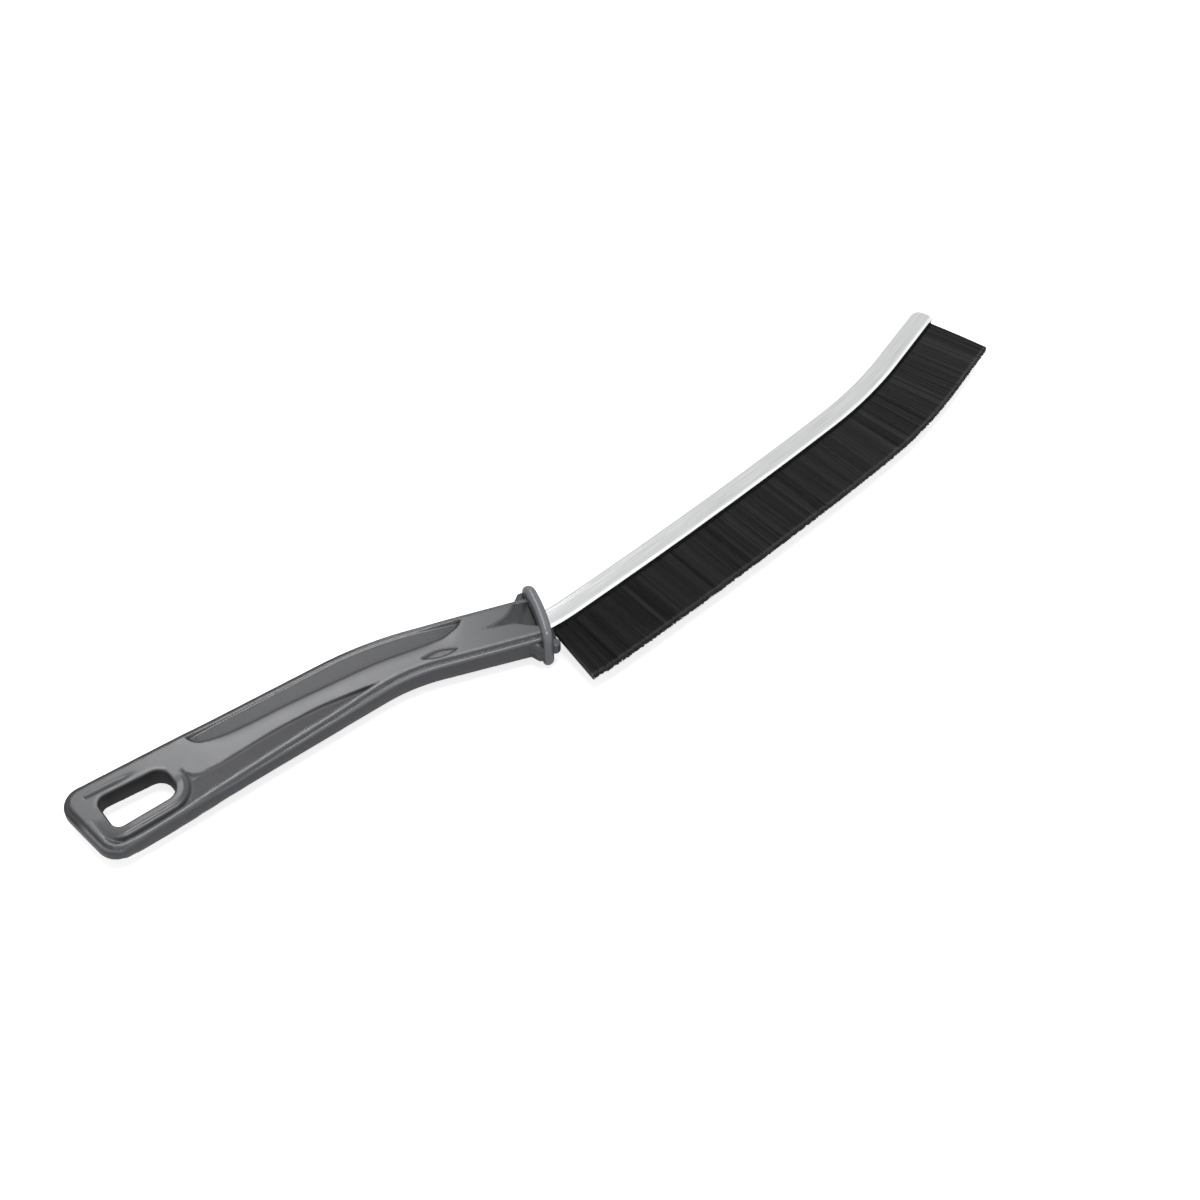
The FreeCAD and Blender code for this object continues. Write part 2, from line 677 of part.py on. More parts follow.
def section_hinge(index):
    """A point on the line that a section bends about, and the line's direction."""
    first, last = section_ends(index)
    along = unit(lip(last)[0] - lip(first)[0])
    outward = -left_of(along)
    marks = [lip(first + (last - first) * i / HINGE_SAMPLES)[0] for i in range(HINGE_SAMPLES + 1)]
    furthest = max((mark - marks[0]).dot(outward) for mark in marks)
    drop = furthest + value("sizes.root_clearance + sizes.tuft_thickness / 2")
    return (marks[0] + marks[-1]) / 2 + outward * drop, along


def make_tuft(name, index, number):
    """One free tuft: filaments from the bending line to their trimmed ends, round at the root."""
    first, last = section_ends(index)
    step = (last - first) / TUFTS_PER_SECTION
    half_gap = value("sizes.tuft_gap") / 2
    half_thickness = value("sizes.tuft_thickness") / 2
    pivot, along = section_hinge(index)
    root_line = pivot + left_of(along) * half_thickness
    sides = (first + number * step + half_gap, first + (number + 1) * step - half_gap)
    lips = [lip(distance) for distance in sides]
    roots = [meeting(edge, outward, root_line, along) for edge, outward in lips]
    tips = [edge + outward * value("sizes.bristle_length") for edge, outward in lips]
    corners = []
    for spot in (roots[0], tips[0], tips[1], roots[1]):
        corners.append(((spot - pivot).dot(along), (spot - pivot).dot(left_of(along))))
    body = new_body(name)
    plan = sketch_in(body, "XY_Plane", name + "_plan")
    outline(plan, corners)
    blank = pad(body, plan, "sizes.tuft_thickness", True)
    doc.recompute()

    def at_root(edge):
        middle = edge.CenterOfMass
        return middle.y > 0 and abs(middle.z) > half_thickness / 2

    root_edges = edges_where(blank.Shape, at_root)
    fillet(body, blank, root_edges, f"{ROOT_ROUND_SHARE} * sizes.tuft_thickness")
    turn = math.degrees(math.atan2(along.y, along.x))
    body.Placement = FreeCAD.Placement(pivot, FreeCAD.Rotation(UP, turn))
    return body


def build():
    """Build every sub-part and return them in order."""
    parts = [
        make_handle(),
        trimmed("channel", swept("channel_blank", draw_channel, True), "0"),
        trimmed("core_wire", swept("wire_blank", draw_wire, True), "sizes.pack_end"),
        trimmed("filament_roots", swept("roots_blank", draw_pack, False), "sizes.pack_end"),
    ]
    for index in range(SECTION_COUNT):
        for number in range(TUFTS_PER_SECTION):
            name = f"tuft_{index + 1}_{number + 1}"
            parts.append(make_tuft(name, index, number))
    doc.recompute()
    return parts


def check(parts):
    """Stop if a feature failed or a sub-part isn't one sound solid."""
    for item in doc.Objects:
        if "Invalid" in item.State or "Error" in item.State:
            raise RuntimeError(f"{item.Label} failed: {item.State}")
    for part in parts:
        shape = part.Shape
        if shape.isNull() or not shape.isValid() or len(shape.Solids) != 1:
            raise RuntimeError(f"{part.Label} isn't one sound solid")


def write(parts):
    """Write one STEP file for each sub-part, and print the lines that the sections bend about."""
    os.makedirs("parts", exist_ok=True)
    for part in parts:
        part.Shape.exportStep(f"parts/{part.Label}.step")
    for index in range(SECTION_COUNT):
        pivot, along = section_hinge(index)
        print(f"bristles_{index + 1} bends about {tuple(pivot)} along {tuple(along)}")


brush = build()
check(brush)
write(brush)
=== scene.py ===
"""Looks of the crevice brush: moulded handle, metal channel, core wire and nylon bristles."""
import json
import math
import random

import bmesh
import bpy
import numpy as np
from bpy.props import FloatProperty, FloatVectorProperty, IntProperty, PointerProperty
from mathutils import Matrix, Vector
from mathutils.geometry import delaunay_2d_cdt

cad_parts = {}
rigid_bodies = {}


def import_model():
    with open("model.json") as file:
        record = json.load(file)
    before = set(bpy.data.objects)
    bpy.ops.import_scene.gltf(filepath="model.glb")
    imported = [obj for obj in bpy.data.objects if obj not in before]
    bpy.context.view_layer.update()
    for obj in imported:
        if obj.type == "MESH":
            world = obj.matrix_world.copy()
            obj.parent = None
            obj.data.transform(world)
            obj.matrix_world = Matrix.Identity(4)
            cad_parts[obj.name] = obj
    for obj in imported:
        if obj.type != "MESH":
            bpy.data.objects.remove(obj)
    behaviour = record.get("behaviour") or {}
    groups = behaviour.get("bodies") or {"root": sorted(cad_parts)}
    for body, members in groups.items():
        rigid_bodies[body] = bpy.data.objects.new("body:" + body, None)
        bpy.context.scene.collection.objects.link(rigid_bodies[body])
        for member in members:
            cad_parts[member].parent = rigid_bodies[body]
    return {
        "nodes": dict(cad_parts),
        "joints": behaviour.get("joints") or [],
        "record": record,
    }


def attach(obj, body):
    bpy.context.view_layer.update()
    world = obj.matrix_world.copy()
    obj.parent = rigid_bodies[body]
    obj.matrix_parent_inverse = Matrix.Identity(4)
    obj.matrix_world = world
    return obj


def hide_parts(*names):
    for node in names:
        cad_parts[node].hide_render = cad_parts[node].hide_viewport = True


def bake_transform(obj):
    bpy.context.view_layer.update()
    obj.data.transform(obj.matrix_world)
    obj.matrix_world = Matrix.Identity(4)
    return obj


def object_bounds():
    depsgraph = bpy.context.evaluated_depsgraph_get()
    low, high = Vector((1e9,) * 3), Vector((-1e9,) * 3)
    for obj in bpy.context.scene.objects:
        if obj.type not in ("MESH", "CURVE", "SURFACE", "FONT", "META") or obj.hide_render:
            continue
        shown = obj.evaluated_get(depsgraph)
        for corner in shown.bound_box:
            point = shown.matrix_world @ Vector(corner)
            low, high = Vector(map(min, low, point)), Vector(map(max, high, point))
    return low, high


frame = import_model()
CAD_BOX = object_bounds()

bl_info = {
    "name": "Crevice Brush",
    "version": (1, 0, 0),
    "blender": (4, 5, 0),
    "location": "View3D > Sidebar > Crevice Brush",
    "description": "Dresses the crevice brush: handle, channel, wire and bristles",
    "category": "Object",
}

MM = 0.001
SECTIONS = [joint["child"] for joint in frame["joints"]]
TUFTS = {section: frame["record"]["behaviour"]["bodies"][section] for section in SECTIONS}
ROOT_BODY = frame["joints"][0]["parent"]


# Settings that a user would change
def length_mm(name, description, size):
    """A length, given in millimetres."""
    return FloatProperty(name=name, description=description, default=size * MM, unit="LENGTH")


def place_mm(name, description, spot):
    """A point, given in millimetres."""
    return FloatVectorProperty(
        name=name, description=description, size=len(spot), default=tuple(part * MM for part in spot),
        subtype="XYZ", unit="LENGTH",
    )


def angle_deg(name, description, degrees):
    """An angle, given in degrees."""
    return FloatProperty(name=name, description=description, default=math.radians(degrees), subtype="ANGLE")


def factor_setting(name, description, level):
    """A value from 0 to 1."""
    return FloatProperty(name=name, description=description, default=level, min=0, max=1, subtype="FACTOR")


def colour_setting(name, description, shades):
    """A colour."""
    return FloatVectorProperty(name=name, description=description, default=shades, subtype="COLOR")


class HandleSettings(bpy.types.PropertyGroup):
    """The moulded handle."""
    detail: length_mm("Detail", "Spacing of the points on its faces", 0.33)
    pommel_corner: length_mm("Pommel corner", "Radius of the pommel's corners", 4.5)
    crest_round: length_mm("Crest", "Radius of the upper edge's bend", 80)
    throat_round: length_mm("Throat", "Radius of the lower edge's bend", 40)
    shoulder_round: length_mm("Shoulder", "Rounding of the shoulders", 0.72)
    face_rise: length_mm("Face", "Raised face above the shoulders", 0.75)
    rim_width: length_mm("Rim", "Raised rim beside the recesses", 0.9)
    ring_rise: length_mm("Ring", "Ring round the slot above the face", 0.3)
    guard_thickness: length_mm("Guard thickness", "Thickness of the guard's bar", 2.4)
    guard_width: length_mm("Guard width", "Guard across the neck", 17.0)
    guard_depth: length_mm("Guard depth", "Guard through the thickness", 10.8)
    guard_flare: length_mm("Guard flare", "Flare behind the guard", 2.8)
    guard_bow: length_mm("Guard bow", "How far the guard's ends sweep back", 0.7)
    guard_corner: length_mm("Guard corner", "Corners of the guard", 3.0)
    nose_radius: length_mm("Lug", "Radius of the lug", 1.2)
    nose_depth: length_mm("Lug depth", "Lug through the thickness", 2.8)
    nose_offset: length_mm("Lug offset", "Guard's middle to the lug", 6.5)
    web_thickness: length_mm("Web", "Web over the lug, half of it sunk in the guard", 1.5)
    web_length: length_mm("Web length", "Lug's middle to the channel's lips", 4.1)
    web_depth: length_mm("Web depth", "Web through the thickness", 1.9)
    colour: colour_setting("Plastic", "Colour of the plastic", (0.095, 0.0975, 0.107))
    roughness: factor_setting("Roughness", "Roughness of the polished faces", 0.22)


class ChannelSettings(bpy.types.PropertyGroup):
    """The folded metal channel and its wire."""
    colour: colour_setting("Metal", "Colour of the channel", (0.63, 0.635, 0.64))
    roughness: factor_setting("Roughness", "Roughness of the brushed sheet", 0.19)


class StripSettings(bpy.types.PropertyGroup):
    """The line that the channel follows, from the guard to the tip."""
    guard: place_mm("Start", "Where the strip leaves the guard", (92.1, -12.65))
    dip: angle_deg("Dip", "Heading below +X at the guard", 3.0)
    root_radius: length_mm("Root bend", "Radius at the guard", 45)
    root_turn: angle_deg("Root turn", "Turn at the guard", 7.2)
    blade_length: length_mm("Blade", "Long gentle stretch", 81.4)
    blade_turn: angle_deg("Blade turn", "Turn of the long stretch", 3.4)
    tip_radius: length_mm("Tip bend", "Radius before the tip", 112)
    tip_turn: angle_deg("Tip turn", "Turn before the tip", 12.9)
    tip_straight: length_mm("Tip", "Straight end", 18.3)
    half_height: length_mm("Half height", "Strip's line to the lips", 2.5)


class BristleSettings(bpy.types.PropertyGroup):
    """The nylon filaments."""
    per_section: IntProperty(name="Filaments", description="Filaments in one section", default=1000, min=1)
    first: length_mm("First", "Guard to the first filaments", 0.1)
    last: length_mm("Last", "Last filaments to the tip", 1.3)
    length: length_mm("Length", "Filaments beyond the lips", 15.32)
    rooted: length_mm("Rooted", "Length inside the channel", 0.9)
    radius: length_mm("Radius", "Radius of a filament", 0.12)
    depth: length_mm("Depth", "Row through the thickness", 1.6)
    pinch: length_mm("Pinch", "Row between the lips", 1.2)
    clump: length_mm("Clump", "Width of a clump", 1.5)
    gather: factor_setting("Gather", "How far a clump closes at its tip", 0.06)
    lean: length_mm("Lean", "Sideways lean of the tips", 0.16)
    uneven: length_mm("Uneven", "Uneven trimming", 0.3)
    colour: colour_setting("Nylon", "Colour of the filaments", (0.017, 0.017, 0.018))
    seed: IntProperty(name="Seed", description="Seed of the scatter", default=11)


class StageSettings(bpy.types.PropertyGroup):
    """Floor, light and camera."""
    camera: place_mm("Camera", "Place of the camera", (-64.9, -240.7, 355.8))
    target: place_mm("Target", "Point at the middle of the picture", (105.2, -14.55, 0))
    lens: FloatProperty(name="Lens", description="Focal length on a 36 mm sensor", default=63.0)
    floor: colour_setting("Floor", "Colour of the floor", (0.9, 0.9, 0.9))


# Looks: scales of the textures, shades as shares of the colour that is set (painted highlights and painted
# shade among them), roughness and bumps
NOISE_DETAIL = 3.0
MOTTLE_SCALE = 90.0
MOTTLE_SHARES = (0.92, 1.08)
# Recesses: a fine colour noise, partly texture and partly painted shade that darkens them
TEXTURE_SCALE = 3000.0
TEXTURE_AND_SHADE_SHARES = (0.3, 0.45)
# Painted highlight: the colour along bright edges, beside the slot and on the guard's bar
PAINTED_HIGHLIGHT_SHARE = 1.9
# Painted shade: the colour in creases, grooves, along the edges and round the slot
PAINTED_SHADE_SHARE = 0.15
GLOSS_SCALE = 220.0
GLOSS_SPREAD = 0.04
RECESS_ROUGHER = 0.03
CREASE_ROUGHER = 0.3
GRAIN_SCALE = 2600.0
GRAIN_DETAIL = 2.0
GRAIN_BUMP = (0.05, 0.02 * MM)
CLAMPED_SCALE = 4000.0
STRAND_SHARES = (0.45, 2.8)
# Painted highlight near the filaments' cut ends
CUT_END_HIGHLIGHT_SHARE = 6.0
# Painted shade at the filaments' roots under the lips
ROOT_SHADE_SHARE = 0.05
NYLON_GLOSS = (0.34, 0.5)
STREAKS_ALONG = (90, 5200, 1)
WIRE_STREAKS = (90, 3000, 3000)
STREAK_DETAIL = 4.0
STREAK_SHARES = (0.7, 1.28)
SMOOTHER = 0.08
ROUGHER = 0.1
STREAK_BUMP = (0.1, 0.01 * MM)
WIRE_SHARE = 0.75
# Painted highlight along the channel's lips, and a slightly darker band beside it
LIP_HIGHLIGHT_SHARE = 1.5
LIP_HIGHLIGHT_BAND_SHARES = ((0.09, 1.5), (0.14, 1.15), (0.18, 0.96))


# Nodes
def feed(output, node, name):
    """Link an output to a node's input."""
    node.id_data.links.new(output, node.inputs[name])


def new_material(name):
    """An empty node material with its shader and output."""
    material = bpy.data.materials.new(name)
    material.use_nodes = True
    tree = material.node_tree
    tree.nodes.clear()
    output = tree.nodes.new("ShaderNodeOutputMaterial")
    shader = tree.nodes.new("ShaderNodeBsdfPrincipled")
    feed(shader.outputs["BSDF"], output, "Surface")
    return material, tree, shader


def add(tree, kind, **values):
    """Add a node and set its inputs and properties by name."""
    node = tree.nodes.new(kind)
    for key, value in values.items():
        if key in node.inputs:
            node.inputs[key].default_value = value
        else:
            setattr(node, key, value)
    return node


def object_coords(tree):
    return tree.nodes.new("ShaderNodeTexCoord").outputs["Object"]


def attribute(tree, name):
    """A value that is kept at the points of the mesh."""
    return add(tree, "ShaderNodeAttribute", attribute_name=name).outputs["Fac"]


def maths(tree, operation, *values):
    """The result of a sum, of outputs and numbers."""
    node = add(tree, "ShaderNodeMath", operation=operation)
    for socket, value in zip(node.inputs, values):
        if isinstance(value, float):
            socket.default_value = value
        else:
            tree.links.new(value, socket)
    return node.outputs["Value"]


def picked(tree, factor, first, second, target):
    """Feed a target with one of two shaders."""
    node = tree.nodes.new("ShaderNodeMixShader")
    for output, socket in zip((factor, first, second), node.inputs):
        tree.links.new(output, socket)
    tree.links.new(node.outputs["Shader"], target)


def mixed(tree, factor, first, second):
    """From one colour to another. The second is an output or a plain colour."""
    node = add(tree, "ShaderNodeMix", data_type="RGBA")
    feed(factor, node, "Factor")
    feed(first, node, "A")
    if isinstance(second, tuple):
        node.inputs["B"].default_value = (*second, 1)
    else:
        feed(second, node, "B")
    return node.outputs["Result"]


def noise(tree, vector, scale, detail=NOISE_DETAIL):
    node = add(tree, "ShaderNodeTexNoise", Scale=scale, Detail=detail)
    feed(vector, node, "Vector")
    return node.outputs["Fac"]


def spread(tree, factor, low, high):
    """Map 0..1 to a range."""
    node = tree.nodes.new("ShaderNodeMapRange")
    node.inputs["To Min"].default_value = low
    node.inputs["To Max"].default_value = high
    feed(factor, node, "Value")
    return node.outputs["Result"]


def tinted(tree, factor, colour, shares):
    """A colour between two shades of one colour."""
    ramp = tree.nodes.new("ShaderNodeValToRGB")
    for stop, share in zip(ramp.color_ramp.elements, shares):
        stop.color = (*shade(colour, share), 1)
    feed(factor, ramp, "Fac")
    return ramp.outputs["Color"]


def bump(tree, shader, height, strength, distance):
    node = tree.nodes.new("ShaderNodeBump")
    node.inputs["Strength"].default_value = strength
    node.inputs["Distance"].default_value = distance
    feed(height, node, "Height")
    feed(node.outputs["Normal"], shader, "Normal")


def shade(colour, factor):
    return tuple(min(1.0, channel * factor) for channel in colour)


def plastic_material(settings):
    """Grey moulded plastic: polished faces, finely textured recesses darkened by painted shade, painted shade
    in creases and along edges, painted highlights on bright edges, and faint mottling.
    """
    material, tree, shader = new_material("handle_plastic")
    coords = object_coords(tree)
    recess = attribute(tree, "recess")
    painted_shade = attribute(tree, "painted_shade")
    polished = tinted(tree, noise(tree, coords, MOTTLE_SCALE), settings.colour, MOTTLE_SHARES)
    textured_and_shaded = tinted(tree, noise(tree, coords, TEXTURE_SCALE), settings.colour, TEXTURE_AND_SHADE_SHARES)
    colour = mixed(tree, recess, polished, textured_and_shaded)
    colour = mixed(tree, attribute(tree, "painted_highlight"), colour, shade(settings.colour, PAINTED_HIGHLIGHT_SHARE))
    colour = mixed(tree, painted_shade, colour, shade(settings.colour, PAINTED_SHADE_SHARE))
    feed(colour, shader, "Base Color")
    smooth = settings.roughness - GLOSS_SPREAD
    rough = settings.roughness + GLOSS_SPREAD
    gloss = spread(tree, noise(tree, coords, GLOSS_SCALE), smooth, rough)
    gloss = maths(tree, "MULTIPLY_ADD", recess, RECESS_ROUGHER, gloss)
    gloss = maths(tree, "MULTIPLY_ADD", painted_shade, CREASE_ROUGHER, gloss)
    feed(gloss, shader, "Roughness")
    bump(tree, shader, noise(tree, coords, GRAIN_SCALE, GRAIN_DETAIL), *GRAIN_BUMP)
    return material


def clamped_material(settings):
    """Black nylon of the clamped filaments, which show only at the lips and the tip."""
    material, tree, shader = new_material("clamped_nylon")
    factor = noise(tree, object_coords(tree), CLAMPED_SCALE)
    feed(tinted(tree, factor, settings.colour, STRAND_SHARES), shader, "Base Color")
    feed(spread(tree, factor, *NYLON_GLOSS), shader, "Roughness")
    return material


def filament_material(settings):
    """Black nylon. Each filament has its own tone, is dark and dull at its root from painted shade, and is
    pale near its cut end from a painted highlight.
    """
    material, tree, shader = new_material("nylon_filaments")
    strand = attribute(tree, "strand")
    root = attribute(tree, "root")
    colour = tinted(tree, strand, settings.colour, STRAND_SHARES)
    # Painted highlight near the cut ends
    colour = mixed(tree, attribute(tree, "painted_tip_highlight"), colour, shade(settings.colour, CUT_END_HIGHLIGHT_SHARE))
    # Painted shade: the roots under the lips are nearly black and dull
    colour = mixed(tree, root, colour, shade(settings.colour, ROOT_SHADE_SHARE))
    feed(colour, shader, "Base Color")
    feed(maths(tree, "MAXIMUM", spread(tree, strand, *NYLON_GLOSS), root), shader, "Roughness")
    return material


def brushed(tree, shader, coords, scale, colour, roughness):
    """Fine streaks in a metal's gloss and surface. Gives the streaked colour."""
    mapping = add(tree, "ShaderNodeMapping", Scale=scale)
    feed(coords, mapping, "Vector")
    streaks = noise(tree, mapping.outputs["Vector"], 1.0, STREAK_DETAIL)
    shader.inputs["Metallic"].default_value = 1.0
    feed(spread(tree, streaks, roughness - SMOOTHER, roughness + ROUGHER), shader, "Roughness")
    bump(tree, shader, streaks, *STREAK_BUMP)
    return tinted(tree, streaks, colour, STREAK_SHARES)


def wire_material(colour, roughness):
    """Drawn wire."""
    material, tree, shader = new_material("wire_metal")
    streaked = brushed(tree, shader, object_coords(tree), WIRE_STREAKS, colour, roughness)
    feed(streaked, shader, "Base Color")
    return material


def sheet_material(colour, roughness, half_height):
    """Brushed sheet metal: fine streaks along the strip, a painted highlight as a white line along the lips,
    and a slightly darker band beside it.
    """
    material, tree, shader = new_material("channel_metal")
    across = attribute(tree, "across")
    joined = tree.nodes.new("ShaderNodeCombineXYZ")
    feed(attribute(tree, "along"), joined, "X")
    feed(across, joined, "Y")
    streaked = brushed(tree, shader, joined.outputs["Vector"], STREAKS_ALONG, colour, roughness)
    # Painted highlight: a white line along the lips, then a slightly darker band, across the strip
    lip_highlight = tree.nodes.new("ShaderNodeValToRGB")
    stops = lip_highlight.color_ramp.elements
    stops[0].color = (LIP_HIGHLIGHT_SHARE, LIP_HIGHLIGHT_SHARE, LIP_HIGHLIGHT_SHARE, 1)
    stops[1].color = (1, 1, 1, 1)
    for place, level in LIP_HIGHLIGHT_BAND_SHARES:
        stops.new(place).color = (level, level, level, 1)
    feed(maths(tree, "MULTIPLY_ADD", across, 0.5 / half_height, 0.5), lip_highlight, "Fac")
    both = add(tree, "ShaderNodeMix", data_type="RGBA", blend_type="MULTIPLY")
    both.inputs["Factor"].default_value = 1.0
    feed(streaked, both, "A")
    feed(lip_highlight.outputs["Color"], both, "B")
    feed(both.outputs["Result"], shader, "Base Color")
    return material


# Meshes
def sliced(shape, place, way):
    """Cut all of a shape's faces along a plane."""
    everything = shape.verts[:] + shape.edges[:] + shape.faces[:]
    bmesh.ops.bisect_plane(shape, geom=everything, plane_co=place, plane_no=way)


def bevelled(shape, edges, offset, steps):
    """Round edges of a shape."""
    bmesh.ops.bevel(
        shape, geom=edges, offset=offset, segments=steps, profile=0.5, affect="EDGES", material=-1
    )


def as_mesh(name, shape):
    """A mesh from a bmesh, which is freed."""
    mesh = bpy.data.meshes.new(name)
    shape.to_mesh(mesh)
    shape.free()
    return mesh


def linked(name, data):
    """An object in the scene, from a mesh, a lamp or a camera."""
    piece = bpy.data.objects.new(name, data)
    bpy.context.scene.collection.objects.link(piece)
    return piece


def repaint(node, material):
    piece = frame["nodes"][node]
    piece.data.materials.clear()
    piece.data.materials.append(material)


# The handle's outline, in millimetres
END_BOTTOM = (-11.54, -9.7)
END_TOP = (-14.26, 9.7)
CREST = (57.3, 5.5)
THROAT = (60.4, -8.5)
NECK_END = (90.77, -12.21)
NECK_HALF = 6.1
NECK_DIP = math.radians(18.5)
NECK_WAY = np.array((math.cos(NECK_DIP), -math.sin(NECK_DIP)))
NECK_UP = np.array((math.sin(NECK_DIP), math.cos(NECK_DIP)))
INTO_GUARD = 0.9
SQUARE = 0.3
SLOT_CORNERS = ((-7.4, -4.9, 2.0), (7.4, -4.9, 3.0), (7.4, 2.75, 3.0), (-7.4, 3.85, 2.0))
POMMEL_X = -15.9
GUARD_X = 95.1
POMMEL_SHOULDER = 1.4
GUARD_SHOULDER = 2.8

# Rows of points beside the outline, the slot and the recesses' edges in millimetres, and how they are joined
RIM_ROWS = (
    0, 0.05, 0.12, 0.2, 0.3, 0.4, 0.5, 0.6, 0.7, 0.8, 0.9, 1.0, 1.1, 1.2, 1.3, 1.4, 1.5, 1.6, 1.7, 1.85, 2.0,
    2.15, 2.3, 2.45, 2.6, 2.8,
)
SLOT_ROWS = (0, 0.04, 0.12, 0.24, 0.4, 0.7, 1.0, 1.3, 1.6, 1.8, 1.95, 2.1, 2.25, 2.4, 2.55, 2.75, 3.0)
EDGE_ROWS = (-0.35, -0.2, -0.08, 0.02, 0.12, 0.25, 0.42, 0.6)
ROW_CLEARANCE = 0.04
MERGE_DISTANCE = 1e-4
ON_LINE = 1e-3
INSIDE_ONLY = 1

# Relief of the faces, in millimetres: the middle line, the step up from the shoulder and the recesses' edges
MIDDLE = ((-16, 0), (0, -0.3), (30, -0.95), (50, -1.4), (60, -2.4), (75, -6.9), (96, -14.0))
MIDDLE_BAND = 2.0
LOWER_STEP = (
    (-16, 1.2), (-11.5, 1.15), (-8, 0.5), (14, 0.5), (20, 0.65), (26, 0.8), (32, 0.92), (44, 1.1), (50, 1.35),
    (62, 1.5), (74, 1.3), (96, 1.3),
)
UPPER_STEP = 1.25
UPPER_RIM_CUT_SHARE = 0.45
HALF_STEP = 0.16
GUARD_REACH = 4.0
LONG_EDGE = (
    (14.7, 5.6), (15.3, 4.5), (16.3, 3.4), (17.7, 2.75), (20.7, 1.95), (26.3, 1.15), (32.4, 0.7),
    (38.6, 0.15), (45.9, -0.65), (52.9, -1.4), (57.0, -2.0), (62.8, -3.3), (68.5, -4.5), (71.0, -4.9),
    (73.4, -4.6), (75.4, -4.1), (76.6, -3.3),
)
WEDGE_EDGE = (
    (10.2, -0.9), (11.2, -2.2), (12.5, -3.0), (15.3, -3.3), (21.8, -3.3), (29.8, -3.15), (36.0, -3.4),
    (41.0, -3.75), (45.1, -4.4), (48.1, -4.9), (51.4, -5.55), (54.5, -6.3),
)
SCOOP_TOP = ((-15.3, 0.1), (-12.0, 0.35), (-8.8, 1.2), (-6.3, 2.6), (-5.0, 4.1), (-3.9, 6.0), (-1.0, 11.0))
SCOOP_BASE = ((-15.3, 0.0), (-8.4, -0.15), (-5.6, -0.5), (-3.7, -1.4), (-1.0, -2.7))
DIMPLE_FROM = (64.1, -6.6)
DIMPLE_TO = (72.2, -9.1)
DIMPLE_HALF = 1.0
GROOVE = ((-9.2, 5.75), (-6.8, 5.55), (-1.0, 5.15), (3.8, 4.95))
RING_REACH = 2.4
OUTSIDE = -1.0

# Depths and slopes of the relief. A pair is where a change starts and ends, or a line's middle and width
FOOT_DEPTH = 0.12
FOOT_WIDTH = 0.1
FOOT_FROM = (0.3, 0.6)
LONG_START = (14.0, 15.2)
LONG_END = (76.0, 77.0)
LONG_WALL = (0, 0.5)
LONG_DEPTH = 0.8
LONG_SLOPE_SHARE = 0.08
LONG_REACH = 5
LONG_LINE = (0.3, 0.2)
LONG_LINE_DEPTH = 0.12
LONG_LINE_RIM = (-0.2, 0.5)
SPINE_ROLL = 0.02
SPINE_WIDTH = 3.0
SPINE_LIMIT = 3.2
SPINE_START = (12, 22)
SPINE_END = (66, 78)
WEDGE_START = (-10.5, -7.5)
WEDGE_WALL = (0, 0.45)
WEDGE_DEPTH = 0.85
WEDGE_SLOPE_SHARE = 0.16
WEDGE_REACH = 4
RING_SLOPE_SHARE = 0.6
SCOOP_RIM = 0.6
SCOOP_WALL = (0, 0.55)
SCOOP_DEPTH = 0.25
SCOOP_SLOPE_SHARE = 0.28
SCOOP_BEND = 3
SCOOP_FLOOR_SHARE = 0.1
SCOOP_REACH = 5
DIMPLE_WALL = (0, 0.4)
DIMPLE_DEPTH = 0.45
RING_LOWER = (-3.5, 0)
RING_START = (-12.0, -4.0)
RING_WALL = 0.8
SLOT_ROUND = 0.4
GROOVE_LINE = (0, 0.38)
GROOVE_START = (-9.0, -8.4)
GROOVE_END = (-3.0, 3.0)
GROOVE_DEPTH = 0.3

# Textured places, painted shade and painted highlights of the faces: strengths as shares, and pairs as above
LONG_TEXTURE_AND_SHADE_SHARE = 0.65
DIMPLE_TEXTURE_AND_SHADE_SHARE = 0.3
POMMEL_END = (-10.5, -8.0)
EDGE_DARK_SHARE = 0.35
EDGE_LINE = (0.2, 0.5)
EDGE_HAIRLINE = (0, 0.15)
FOOT_DARK_SHARE = 0.45
FOOT_LINE_WIDTH = 0.12
BACK_LINE_END = (0.9, 1.4)
BACK_LINE_FADE = (50, 64)
SLOT_LINE = (0.2, 0.55)
LONG_DARK_LINE = (0.5, 0.45)
INNER_FADE = (-0.2, 0.4)
WEDGE_DARK_SHARE = 0.7
WEDGE_LINE = (0.4, 0.35)
WEDGE_RING_GAP = (1.7, 2.3)
RING_LINE = (0.25, 0.4)
RING_FADE = (3.2, 4.2)
SCOOP_DARK_SHARE = 0.6
SCOOP_SHADOW = (2.0, 4.0)
POMMEL_DARK_SHARE = 0.8
POMMEL_LINE_WIDTH = 0.3
POMMEL_LINE_END = (-11.0, -8.5)
DIMPLE_DARK_SHARE = 0.9
DIMPLE_LINE = (0.12, 0.22)
RIM_LIGHT = 0.45
RIM_LIGHT_WIDTH = 0.3
SHOULDER_LIGHT = (0.3, 0.2)
POMMEL_LIGHT = (0.65, 0.3)
SLOT_HIGHLIGHT_SHARE = 0.9
SLOT_LIGHT = (0.8, 0.35)
SLOT_LIGHT_ABOVE = 2
SLOT_LIGHT_START = (-9.0, -7.0)

# The guard and its lug: shares of their sizes, strengths of the looks and numbers of steps
BAR_ROUND_SHARE = 0.45
FLARE_WIDTH_SHARE = 0.94
FLARE_DEPTH_SHARE = 0.385
FLARE_INSIDE_SHARE = 0.8
# Painted shade on the flares' walls
WALL_PAINTED_SHADE = 0.35
FLARE_FRONT_SHARE = 0.8
FLARE_RISE_SHARE = 0.7
FLARE_STEPS = 9
# Painted highlight on the guard's bar
BAR_PAINTED_HIGHLIGHT = 1.1
BOW_CUT_SHARES = (-0.4, -0.32, -0.24, -0.16, -0.08, 0, 0.08, 0.16, 0.24, 0.32, 0.4)
CORNER_STEPS = 8
RIM_STEPS = 6
LUG_SIDES = 24
LUG_ROUND_SHARE = 1 / 3
LUG_ROUND_STEPS = 3


